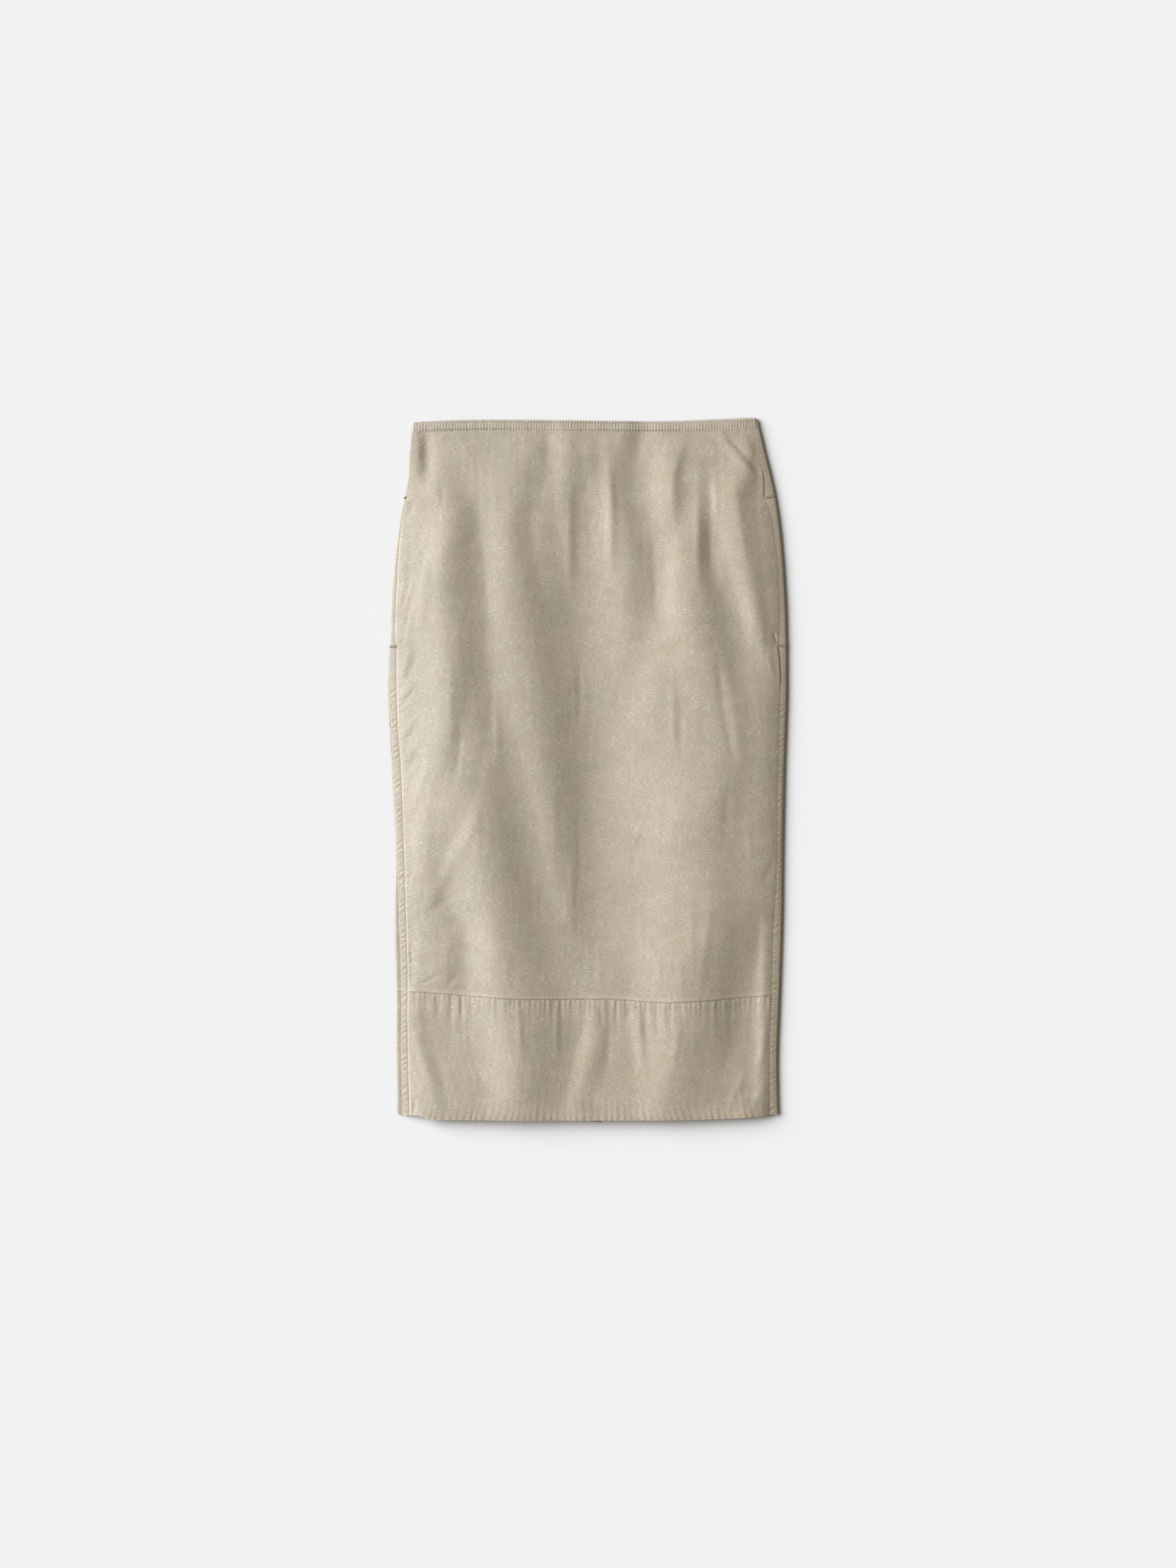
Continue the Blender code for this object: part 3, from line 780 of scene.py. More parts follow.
    def hem_wave(self, across: Array, above: Array) -> Array:
        """The puckers that fan up from the hem, between -1 and 1."""
        fan = 0.30 * above * np.tanh(-across / (90.0 * MM)) + 0.12 * above * np.sin(across / (19.0 * MM))
        return self.puckered(across - fan, self.hem_pucker, 0.6, 0.4)

    def edge_relief(self, across: Array, level: Array, inset: Array) -> Array:
        """How the front's cloth sinks into the valley at its side seams, and the puckers that leave it.

        Args:
            across: Places along X.
            level: Places along Y.
            inset: Distances inwards from the seam's inner row.

        Returns:
            Heights in metres.
        """
        relief = np.zeros_like(across)
        for side in Side:
            seam = SEAM_SIDES[side]
            wave = self.ripple(level - seam.slant * inset, self.side_pitch, 0.9 + side.value)
            pucker = seam.panel * MM * wave * fade(inset, seam.run) * ease(inset / self.side_start)
            pucker = pucker + self.valley.sharp(inset) * self.valley_share(side, level)
            relief = relief + np.where(across * side.value > 0, pucker, 0.0)
        return relief

    def strip_slope(self, side: Side, inset: Array, level: Array) -> Array:
        """How far the strip has risen towards the panel at such a distance inwards from its fold."""
        width = self.strip_width(side, level)
        return self.strip_rise.at(side) * ease(width / self.strip_full) * held(inset / width)

    def strip_wave(self, side: Side, level: Array, inset: Array) -> Array:
        """The slanted puckers of the lapped strip, with few on the plain facings above.

        Args:
            side: Which side seam.
            level: Places along Y.
            inset: Distances inwards from the lapped edge.

        Returns:
            Values between -1 and 1.
        """
        above = ease((level - self.facing.foot * MM) / (self.facing.foot_run * MM))
        plain = np.maximum(self.facing.share(level) * (side is Side.LEFT), above * self.facing_share)
        slanted = level + side.value * SEAM_SIDES[side].slant * inset
        return self.ripple(slanted, self.strip_pitch, 0.3 + side.value) * (1.0 - plain)

    def strip_lift(self, side: Side, level: Array, inset: Array) -> Array:
        """How far the lapped strip stands off its margin, from its fold to the inner row.

        Args:
            side: Which side seam.
            level: Places along Y.
            inset: Distances inwards from the lapped edge.

        Returns:
            Heights in metres.
        """
        width = self.strip_width(side, level)
        wide = ease(width / self.strip_full)
        crown = self.strip_crown + SEAM_SIDES[side].strip * MM * self.strip_wave(side, level, inset)
        lift = crown * wide * np.sin(np.pi * held(inset / width))
        lift = lift + self.strip_slope(side, inset, level)
        sewn = (level < self.unsewn[0]) | (level > self.unsewn[1])
        row = self.strip_row.soft(inset - self.outer_row(side, level))
        valley = self.valley.sharp(np.maximum(width - inset, 0.0)) * self.valley_share(side, level)
        return lift + (self.strip_roll.rolled(inset) + row * sewn) * wide + valley

    def wear(self, across: Array, level: Array) -> Points:
        """How the cloth is toned along its seams and edges, painted highlight and painted shade included.

        Args:
            across: Places along X.
            level: Places along Y.

        Returns:
            Three arrays of shares from 0 to 1: rubbed pale with painted highlight, warm on the margins, and
                painted shade in the pucker troughs, on the right strip and in the pocket mouth.
        """
        top, hem = self.waist_edge(across) - level, level - self.hem_edge(across)
        band = level - self.band_seam(across)
        # pale is partly rubbed cloth and partly painted highlight: pale lines on the folded edges at waist
        # and hem, and on the top of the band's ridge
        pale = 0.7 * fade(top, 0.9) + 0.8 * fade(hem, 0.9) + 0.4 * bell(band - 2.2 * MM, 1.1)
        warm = 0.7 * ease((12.0 * MM - top) / (0.8 * MM)) + 0.3 * bell(band + 2.0 * MM, 3.0)
        # deep is painted shade: here the troughs of the hem puckers are darkened
        deep = 0.5 * np.maximum(-self.hem_wave(across, np.maximum(hem, 0.0)), 0.0) * fade(hem, 6.0)
        for side in Side:
            left, right = side is Side.LEFT, side is Side.RIGHT
            out = across * side.value
            past_row, lapped = out - self.inner_row(side, level), out - self.lap_edge(side, level)
            on_strip = ease(past_row / (0.6 * MM)) * ease(1.0 - lapped / (0.5 * MM))
            wave = self.strip_wave(side, level, -lapped)
            # Painted highlight on the panel's rim just inside the inner row, stronger on the left, lit side
            pale += 0.32 * self.seam_share(side, level) * bell(past_row + 1.0 * MM, 0.6)
            # A pale line along each lapped edge: rubbed cloth and painted highlight
            pale += 0.5 * bell(lapped + 0.4 * MM, 0.5)
            # Painted highlight on the strip's pucker ridges, stronger on the left, lit side
            pale += (0.08 + 0.17 * left) * np.maximum(wave, 0.0) * on_strip
            # Painted shade in the strip's pucker troughs, and over the whole right strip, the side away from
            # the light
            deep += (1.3 * np.maximum(-wave, 0.0) + 0.25 * right) * on_strip
            # Painted shade in the open slit at the right pocket's mouth
            deep += 0.9 * self.mouth(side, level) * bell(past_row - 0.2 * MM, 0.6)
            warm = np.maximum(warm, (0.3 + 0.4 * right) * on_strip)
        return held(pale), held(warm), held(deep)

    def fell_point(self, side: Side, level: Array, inset: Array, lift: Array) -> Points:
        """Points of the front's lapped margin, which sinks a little where it passes over the side fold.

        Args:
            side: Which side seam.
            level: Places along Y.
            inset: Distances inwards from the lapped edge.
            lift: How far off the margin's outside the points are raised.

        Returns:
            X, Y and Z.
        """
        across = self.lap_edge(side, level) - inset
        past = (across - self.fold_centre(side, level)) / (self.fold_reach.at(side) + self.lap)
        share = self.lap_wrap.at(side) * held(past)
        height = self.fold_radius + (self.fold_radius + self.lap + lift) * np.sqrt(1.0 - share**2)
        return side.value * across, level, height

    def strip_point(self, side: Side, level: Array, inset: Array) -> Points:
        """Points of the outside of the felled strip, at distances inwards from its lapped edge."""
        return self.fell_point(side, level, inset, self.strip_lift(side, level, inset))

    def back_point(self, side: Side, inner: float, column: Array, level: Array) -> Points:
        """Points of the back, flat on the surface, then round the side fold, then under the lap.

        Args:
            side: Which half of the back.
            inner: Where the piece starts along X.
            column: 0 to 1 on the flat, 1 to 2 round the fold, 2 to 3 under the lap.
            level: Places along Y.

        Returns:
            X, Y and Z.
        """
        centre = side.value * self.fold_centre(side, level)
        flat_x = inner + (centre - inner) * held(column)
        angle = (np.clip(column, 1.0, 2.0) - 1.5) * np.pi
        turn_x = centre + side.value * self.fold_reach.at(side) * np.cos(angle)
        under = np.maximum(self.strip_width(side, level) - 0.5 * MM, 0.6 * MM)
        end = self.fell_point(side, level, under, np.zeros_like(level))[0]
        strip_x = centre + (end - centre) * held(column - 2.0)
        across = np.where(column <= 1.0, flat_x, np.where(column <= 2.0, turn_x, strip_x))
        height = np.where(column <= 1.0, 0.0, self.fold_radius + self.fold_radius * np.sin(angle))
        return across, level, height


class Noise(NamedTuple):
    """A noise: features per metre along each axis, its detail, and the limits that are mapped to 0 and 1."""

    scale: tuple[float, ...]
    detail: float
    low: float
    high: float


class Yarn(NamedTuple):
    """One part of the weave's grain: features per metre across and along the cloth, and its share."""

    across: float
    along_cloth: float
    share: float


class NodeTree:
    """A short way to write a material's nodes."""

    def __init__(self, name: str) -> None:
        """Starts an empty material with an output and a Principled shader."""
        self.material = bpy.data.materials.new(name)
        self.material.use_nodes = True
        self.tree = self.material.node_tree
        self.shader = self.tree.nodes["Principled BSDF"]

    def add(self, kind: str, **inputs: object) -> bpy.types.Node:
        """Adds a node and sets or links its inputs.

        Args:
            kind: The node's type.
            **inputs: Input names with underscores for spaces; a socket is linked and a value is set.

        Returns:
            The node.
        """
        node = self.tree.nodes.new(kind)
        for key, value in inputs.items():
            self.feed(node, key.replace("_", " "), value)
        return node

    def feed(self, node: bpy.types.Node, key: str | int, value: object) -> None:
        """Links a socket to an input, or sets the input's value.

        Args:
            node: The node.
            key: The input's name or number.
            value: A socket or a value.
        """
        if isinstance(value, Socket):
            self.tree.links.new(value, node.inputs[key])
        else:
            node.inputs[key].default_value = value

    def math(self, operation: str, first: object, second: object = 0.0) -> Socket:
        """A math node's result.

        Args:
            operation: What it does.
            first: Its first socket or value.
            second: Its second socket or value.

        Returns:
            The result's socket.
        """
        node = self.tree.nodes.new("ShaderNodeMath")
        node.operation = operation
        self.feed(node, 0, first)
        self.feed(node, 1, second)
        return node.outputs[0]

    def times(self, first: object, second: object) -> Socket:
        """The product of two sockets or values."""
        return self.math("MULTIPLY", first, second)

    def noise(self, scale: tuple[float, ...], detail: float) -> Socket:
        """Noise with so many features per metre along each axis.

        Args:
            scale: Three numbers for the garment's axes, or two for across and along the cloth.
            detail: How much fine detail it has.

        Returns:
            The noise's socket.
        """
        if len(scale) == 3:
            place = self.add("ShaderNodeTexCoord").outputs["Object"]
        else:
            node = self.add("ShaderNodeUVMap")
            node.uv_map = "cloth"
            place, scale = node.outputs["UV"], (*scale, 1.0)
        mapping = self.add("ShaderNodeMapping", Vector=place, Scale=scale)
        vector = mapping.outputs["Vector"]
        return self.add("ShaderNodeTexNoise", Vector=vector, Scale=1.0, Detail=detail).outputs["Fac"]

    def ramp(self, value: Socket, low: float, high: float) -> Socket:
        """A value mapped from between two limits to between 0 and 1."""
        node = self.add("ShaderNodeMapRange", Value=value, From_Min=low, From_Max=high)
        return node.outputs["Result"]

    def patches(self, noise: Noise) -> Socket:
        """A noise mapped from between its limits to between 0 and 1."""
        return self.ramp(self.noise(noise.scale, noise.detail), noise.low, noise.high)

    def mix(self, share: object, first: object, second: object) -> Socket:
        """Two colours mixed by a share.

        Args:
            share: How much of the second.
            first: A colour or a socket.
            second: A colour or a socket.

        Returns:
            The mixed colour's socket.
        """
        node = self.tree.nodes.new("ShaderNodeMix")
        node.data_type = "RGBA"
        for key, value in ((0, share), (6, first), (7, second)):
            self.feed(node, key, value)
        return node.outputs[2]

    def surface(self, **inputs: float | Colour) -> None:
        """Sets the shader's inputs; input names have underscores for spaces."""
        for key, value in inputs.items():
            self.feed(self.shader, key.replace("_", " "), value)

    def bump(self, height: Socket, strength: float, distance: float) -> None:
        """Feeds a height to the shader's normal."""
        node = self.add("ShaderNodeBump", Height=height, Strength=strength, Distance=distance)
        self.feed(self.shader, "Normal", node.outputs["Normal"])


@dataclass(frozen=True)
class ClothFinish:
    """A plain weave with slubs across the cloth, drifting between two hues, rubbed pale along folded edges,
    with painted highlight on ridges and rims and painted shade in pucker troughs.
    """

    name: str
    shade: Colour
    warm: Colour
    slub: Colour
    margin: Colour = (0.50, 0.430, 0.340, 1.0)
    # rubbed: paleness of rubbed folded edges, and painted highlight on ridges and rims
    rubbed: Colour = (0.74, 0.68, 0.58, 1.0)
    # pucker: the colour of painted shade in pucker troughs, on the right strip and in the pocket mouth
    pucker: Colour = (0.40, 0.295, 0.18, 1.0)
    gaps: Colour = (0.19, 0.155, 0.115, 1.0)
    slub_share: float = 0.8
    gaps_share: float = 0.42
    fleck_share: float = 0.8
    margin_share: float = 0.6
    pucker_share: float = 0.6
    rubbed_share: float = 0.55
    roughness: float = 0.62
    gleam: float = 0.5
    sheen: float = 0.12
    sheen_roughness: float = 0.6
    slub_relief: float = 0.6
    relief: Span = (0.5, 0.3 * MM)
    drift: Noise = Noise((34.0, 26.0, 30.0), 3.0, 0.38, 0.62)
    patches: Noise = Noise((45.0, 90.0, 45.0), 1.0, 0.40, 0.64)
    streaks: Noise = Noise((170.0, 1250.0), 2.0, 0.47, 0.72)
    flecks: Noise = Noise((620.0, 1000.0), 1.0, 0.64, 0.76)
    weft: Yarn = Yarn(230.0, 1350.0, 0.46)
    warp: Yarn = Yarn(1250.0, 70.0, 0.20)
    fine: Yarn = Yarn(900.0, 1100.0, 0.34)
    grain_limits: Span = (0.58, 0.43)

    def make(self) -> Material:
        """Builds the material.

        Returns:
            The material.
        """
        tree = NodeTree(self.name)
        # Reads the per-vertex shares of rubbed paleness with painted highlight, warm margins and painted
        # shade
        tone = tree.add("ShaderNodeAttribute")
        tone.attribute_name = "seam_tone"
        parts = tree.add("ShaderNodeSeparateColor", Color=tone.outputs["Color"])
        slubs = tree.times(tree.patches(self.streaks), tree.patches(self.patches))
        slubs = tree.times(slubs, self.slub_share)
        grain = tree.math("ADD", self.yarn(tree, self.warp), self.yarn(tree, self.weft))
        grain = tree.math("ADD", grain, self.yarn(tree, self.fine))
        layers = (
            (tree.times(parts.outputs["Green"], self.margin_share), self.margin),
            (slubs, self.slub),
            (tree.times(tree.ramp(grain, *self.grain_limits), self.gaps_share), self.gaps),
            (tree.times(tree.patches(self.flecks), self.fleck_share), self.slub),
            # The blue share paints shade in pucker troughs, on the right strip and in the pocket mouth
            (tree.times(parts.outputs["Blue"], self.pucker_share), self.pucker),
            # The red share is rubbed paleness of folded edges, with painted highlight on ridges and rims
            (tree.times(parts.outputs["Red"], self.rubbed_share), self.rubbed),
        )
        colour = tree.mix(tree.patches(self.drift), self.shade, self.warm)
        for share, tint in layers:
            colour = tree.mix(share, colour, tint)
        tree.feed(tree.shader, "Base Color", colour)
        tree.surface(Roughness=self.roughness, Sheen_Weight=self.sheen, Sheen_Roughness=self.sheen_roughness)
        tree.surface(Specular_IOR_Level=self.gleam)
        tree.bump(tree.math("ADD", tree.times(slubs, self.slub_relief), grain), *self.relief)
        return tree.material

    @staticmethod
    def yarn(tree: NodeTree, yarn: Yarn) -> Socket:
        """One part of the grain, already weighed by its share."""
        return tree.times(tree.noise((yarn.across, yarn.along_cloth), 2.0), yarn.share)


@dataclass(frozen=True)
class ThreadFinish:
    """Twisted sewing thread; the same finish also gives the painted shade in the needle holes and the zip's
    metal parts.
    """

    name: str
    colour: Colour
    roughness: float = 0.75
    brighter: float = 1.35
    twist: Noise = Noise((2600.0, 2600.0, 2600.0), 1.0, 0.4, 0.65)
    relief: Span = (0.3, 0.1 * MM)

    def make(self) -> Material:
        """Builds the material.

        Returns:
            The material.
        """
        tree = NodeTree(self.name)
        twist = tree.noise(self.twist.scale, self.twist.detail)
        pale = tuple(min(1.0, part * self.brighter) for part in self.colour[:3]) + (1.0,)
        share = tree.ramp(twist, self.twist.low, self.twist.high)
        tree.feed(tree.shader, "Base Color", tree.mix(share, self.colour, pale))
        tree.surface(Roughness=self.roughness)
        tree.bump(twist, *self.relief)
        return tree.material


@dataclass(frozen=True)
class FloorFinish:
    """Plain pale studio paper."""

    name: str = "studio_paper"
    colour: Colour = (0.90, 0.90, 0.90, 1.0)

    def make(self) -> Material:
        """Builds the material."""
        tree = NodeTree(self.name)
        tree.surface(Base_Color=self.colour, Roughness=1.0, Specular_IOR_Level=0.0)
        return tree.material


class Workshop:
    """Turns placed grids and repeated shapes into finished pieces."""

    def __init__(self, tones: Callable[[Array, Array], tuple[Array, ...]], body: str = "root") -> None:
        """Sets how cloth is rubbed, toned and painted with highlight and shade at each place, and the body
        that every piece rides on.
        """
        self.tones = tones
        self.body = body

    @staticmethod
    def deselect() -> None:
        """Leaves nothing selected."""
        for item in bpy.context.selected_objects:
            item.select_set(False)

    def sheet(
        self,
        name: str,
        columns: list[float],
        rows: list[float],
        place: Place,
        wall: float,
        finish: Material,
        lining: tuple[int, int] = (1, 1),
    ) -> Piece:
        """Lays a grid of cloth over a form and gives it its thickness and its closed rim.

        Args:
            name: The piece's name.
            columns: The grid's stations across.
            rows: The grid's stations up.
            place: Gives X, Y and Z for columns and rows, with the outside facing away from the form.
            wall: The cloth's thickness, to the inside.
            finish: Its material.
            lining: The inside keeps every such column and row of the grid.

        Returns:
            The finished piece.
        """
        self.deselect()
        column, row = np.meshgrid(columns, rows)
        skin = np.stack(place(column.ravel(), row.ravel()), axis=1).reshape(len(rows), len(columns), 3)
        normal = np.cross(np.gradient(skin, axis=1), np.gradient(skin, axis=0))
        normal /= np.maximum(np.linalg.norm(normal, axis=2, keepdims=True), 1e-12)
        kept_rows = sorted({*range(0, len(rows), lining[1]), len(rows) - 1})
        kept_columns = sorted({*range(0, len(columns), lining[0]), len(columns) - 1})
        kept = np.ix_(kept_rows, kept_columns)
        outer = np.arange(skin.shape[0] * skin.shape[1]).reshape(skin.shape[:2])
        inner = np.arange(len(kept_rows) * len(kept_columns)).reshape(len(kept_rows), len(kept_columns))
        inner = outer.size + inner
        faces = self.quads(outer) + [face[::-1] for face in self.quads(inner)]
        faces += self.rim(outer, inner, kept_rows, kept_columns)
        points = np.concatenate([skin.reshape(-1, 3), (skin - wall * normal)[kept].reshape(-1, 3)])
        piece = self.raw_piece(name, points, faces)
        cloth_run = self.cloth_lengths(skin)
        self.write_uv(piece.data, np.concatenate([cloth_run.reshape(-1, 2), cloth_run[kept].reshape(-1, 2)]))
        # Per-vertex shares of rubbed paleness with painted highlight, warm margins, and painted shade
        tones = self.tones(points[:, 0], points[:, 1])
        colours = np.stack([*tones, np.ones_like(tones[0])], axis=1)
        layer = piece.data.attributes.new("seam_tone", "FLOAT_COLOR", "POINT")
        layer.data.foreach_set("color", colours.ravel())
        return self.finish_piece(piece, name, finish)

    @staticmethod
    def raw_piece(name: str, points: Array, faces: list[list[int]]) -> Piece:
        """Makes a bare piece.

        Args:
            name: Its name.
            points: Its points.
            faces: Its faces, each a list of vertex numbers.

        Returns:
            The piece.
        """
        mesh = bpy.data.meshes.new(name)
        mesh.from_pydata(points.tolist(), [], faces)
        piece = bpy.data.objects.new(name, mesh)
        bpy.context.scene.collection.objects.link(piece)
        return piece

    @staticmethod
    def quads(index: Array) -> list[list[int]]:
        """The four-sided faces of a grid of vertex numbers."""
        corners = (index[:-1, :-1], index[:-1, 1:], index[1:, 1:], index[1:, :-1])
        return np.stack([corner.ravel() for corner in corners], axis=1).tolist()

    @staticmethod
    def rim(outer: Array, inner: Array, kept_rows: list[int], kept_columns: list[int]) -> list[list[int]]:
        """Closes a sheet's edge with fans from each vertex of its inside to those of its outside.

        Args:
            outer: The outside's grid of vertex numbers.
            inner: The inside's grid of vertex numbers.
            kept_rows: The outside's rows that the inside has.
            kept_columns: The outside's columns that the inside has.

        Returns:
            The rim's triangles.
        """
        runs = (
            (outer[0], inner[0], kept_columns),
            (outer[:, -1], inner[:, -1], kept_rows),
            (outer[-1, ::-1], inner[-1, ::-1], [outer.shape[1] - 1 - k for k in reversed(kept_columns)]),
            (outer[::-1, 0], inner[::-1, 0], [outer.shape[0] - 1 - k for k in reversed(kept_rows)]),
        )
        faces = []
        for edge, lining_edge, kept in runs:
            edge, lining_edge = edge.tolist(), lining_edge.tolist()
            for index, (start, end) in enumerate(zip(kept, kept[1:])):
                here, beyond = lining_edge[index], lining_edge[index + 1]
                faces += [[edge[k + 1], edge[k], here] for k in range(start, end)]
                faces.append([edge[end], here, beyond])
        return faces

    @staticmethod
    def cloth_lengths(skin: Array) -> Array:
        """Lengths measured along the cloth from its middle, across and up, for each vertex of its outside.

        Args:
            skin: The outside's grid of points.

        Returns:
            Two lengths for each point of the grid.
        """
        lengths = []
        for axis in (1, 0):
            steps = np.linalg.norm(np.diff(skin, axis=axis), axis=2)
            run = np.insert(np.cumsum(steps, axis=axis), 0, 0.0, axis=axis)
            middle = np.take(run, [run.shape[axis] // 2], axis=axis)
            lengths.append(run - middle + np.take(skin[..., 1 - axis], [run.shape[axis] // 2], axis=axis))
        return np.stack(lengths, axis=2)

    @staticmethod
    def write_uv(mesh: bpy.types.Mesh, places: Array) -> None:
        """Writes a UV map in metres of cloth from one place for each vertex."""
        corners = np.empty(len(mesh.loops), dtype=int)
        mesh.loops.foreach_get("vertex_index", corners)
        mesh.uv_layers.new(name="cloth").data.foreach_set("uv", places[corners].ravel())

    def finish_piece(
        self, piece: Piece, name: str, finish: Material, smooth_angle: float = 50.0
    ) -> Piece:
        """Names, dresses and smooths a piece, and lets it ride on the body.

        Args:
            piece: The bare piece.
            name: Its name.
            finish: Its material.
            smooth_angle: The angle, in degrees, past which an edge stays sharp.

        Returns:
            The same piece.
        """
        self.deselect()
        piece.select_set(True)
        bpy.context.view_layer.objects.active = piece
        bpy.ops.object.shade_smooth_by_angle(angle=math.radians(smooth_angle))
        piece.name = name
        piece.data.name = name
        piece.data.materials.clear()
        piece.data.materials.append(finish)
        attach(piece, self.body)
        LOG.info("%s: %d faces", name, len(piece.data.polygons))
        return piece


def graded(edge_run: float, edge_step: float, step: float) -> list[float]:
    """Stations from 0 to 1, closer together near both ends; all three lengths are shares of the whole."""
    edge = spaced(0.0, edge_run, edge_step)[:-1]
    return edge + spaced(edge_run, 1.0 - edge_run, step) + [1.0 - share for share in reversed(edge)]


def spaced(start: float, end: float, step: float) -> list[float]:
    """Evenly spaced stations from start to end, no further apart than step."""
    count = max(1, math.ceil(abs(end - start) / step))
    return [start + (end - start) * index / count for index in range(count + 1)]


def even(count: int) -> list[float]:
    """Evenly spaced stations from 0 to 1, with so many steps."""
    return spaced(0.0, 1.0, 1 / count)


def level_between(lower: Line, upper: Line, across: Array, row: Array) -> Array:
    """The level of a row of a piece that reaches from its lower to its upper edge."""
    return lower(across) + (upper(across) - lower(across)) * row


@dataclass
class Stitcher:
    """Sews rows of stitches and bar tacks: pale thread on top, and a dark bead of painted shade at each
    needle hole.
    """

    thread: Material
    # hole: the near-black finish of the beads that paint the shade in each needle hole
    hole: Material
    tack: Material
    shop: Workshop
    hole_size: Size = (1.15 * MM, 0.95 * MM, 0.18 * MM)
    hole_rise: float = 0.05 * MM
    strand_size: Size = (1.7 * MM, 0.75 * MM, 0.55 * MM)
    strand_pitch: float = 1.0 * MM
    satin_size: Span = (0.55 * MM, 0.3 * MM)
    satin_pitch: float = 0.5 * MM
    satin_slant: float = 0.25

    @staticmethod
    def bead(length: float, width: float, height: float, sides: int, stations: tuple[float, ...]) -> Grain:
        """A rounded grain of thread along X, narrowing to both its tips.

        Args:
            length: From tip to tip.
            width: Across its middle.
            height: Of its middle above its axis.
            sides: Around it.
            stations: Places of its rings, from -1 to 1 along it.

        Returns:
            Its points and its faces.
        """
        points, faces = [], []
        for station in stations:
            swell = math.sqrt(1.0 - station**2)
            for index in range(sides):
                angle = 2.0 * math.pi * index / sides
                aside, up = width / 2 * swell * math.cos(angle), height * swell * math.sin(angle)
                points.append((length / 2 * station, aside, up))
        for ring in range(len(stations) - 1):
            for index in range(sides):
                here, beside = ring * sides + index, ring * sides + (index + 1) % sides
                faces.append([here, here + sides, beside + sides, beside])
        tips = len(points)
        points += [(-length / 2, 0.0, -0.3 * height), (length / 2, 0.0, -0.3 * height)]
        last = (len(stations) - 1) * sides
        for index in range(sides):
            faces.append([tips, index, (index + 1) % sides])
            faces.append([tips + 1, last + (index + 1) % sides, last + index])
        return np.array(points), faces

    @staticmethod
    def beside(ahead: Array) -> Array:
        """The level direction at a right angle to each of these."""
        across = np.cross(np.array(UP), ahead)
        return across / np.linalg.norm(across, axis=1, keepdims=True)

    def spread(self, template: Grain, centres: Array, ahead: Array) -> Grain:
        """Repeats a grain at many places.

        Args:
            template: Its points, along X, and its faces.
            centres: The places.
            ahead: The direction of each, of unit length.

        Returns:
            All points and faces.
        """
        points, faces = template
        beside = self.beside(ahead)
        frame = np.stack([ahead, beside, np.cross(ahead, beside)], axis=1)
        placed = centres[:, None, :] + np.einsum("vk,nkd->nvd", points, frame)
        index = np.arange(len(centres))[:, None, None] * len(points)
        groups = [(index + np.array([face])[None]).reshape(-1, len(face)).tolist() for face in faces]
        return placed.reshape(-1, 3), [face for group in groups for face in group]

    def grains(self, name: str, parts: list[Grain], finish: Material) -> Piece:
        """Joins repeated grains into one piece and finishes it.

        Args:
            name: The piece's name.
            parts: The grains.
            finish: Their material.

        Returns:
            The finished piece.
        """
        points, faces, start = [], [], 0
        for some_points, some_faces in parts:
            points.append(some_points)
            faces += [[corner + start for corner in face] for face in some_faces]
            start += len(some_points)
        piece = self.shop.raw_piece(name, np.concatenate(points), faces)
        return self.shop.finish_piece(piece, name, finish, 60.0)

    @staticmethod
    def stations(trace: Line, pitch: float) -> tuple[Array, Array]:
        """Evenly spaced points along a path, and its direction at each.

        Args:
            trace: Gives points of the path for shares from 0 to 1.
            pitch: The spacing.

        Returns:
            Points and unit directions.
        """
        path = trace(np.linspace(0.0, 1.0, 1200))
        run = np.insert(np.cumsum(np.linalg.norm(np.diff(path, axis=0), axis=1)), 0, 0.0)
        places = np.arange(pitch / 2, run[-1], pitch)
        points, before, after = (
            np.stack([np.interp(places + shift, run, path[:, axis]) for axis in range(3)], axis=1)
            for shift in (0.0, -0.4 * pitch, 0.4 * pitch)
        )
        ahead = after - before
        return points, ahead / np.linalg.norm(ahead, axis=1, keepdims=True)

    def row(
        self, name: str, traces: list[Line], pitch: float, width: float = 0.5 * MM, bold: float = 1.0
    ) -> list[Piece]:
        """Sews rows of stitches of one kind.

        Args:
            name: The rows' name.
            traces: The paths, on the cloth's outside.
            pitch: The stitches' spacing.
            width: The thread's width.
            bold: The size of the dark beads of painted shade in the needle holes, where 1 is usual.

        Returns:
            The threads' piece and the piece of painted shade in the needle holes.
        """
        top = self.bead(0.70 * pitch, width, 0.45 * width, 5, (-0.82, -0.3, 0.3, 0.82))
        long, wide, high = self.hole_size
        # A dark bead in each dimple paints the needle hole's shade
        dimple = self.bead(long * bold, wide * bold, high, 6, (-0.6, 0.6))
        raised = np.array(UP) * self.hole_rise
        threads, holes = [], []
        for trace in traces:
            points, ahead = self.stations(trace, pitch)
            threads.append(self.spread(top, points, ahead))
            holes.append(self.spread(dimple, points + ahead * pitch / 2 + raised, ahead))
        return [
            self.grains(f"{name}_thread", threads, self.thread),
            self.grains(f"{name}_needle_holes", holes, self.hole),
        ]

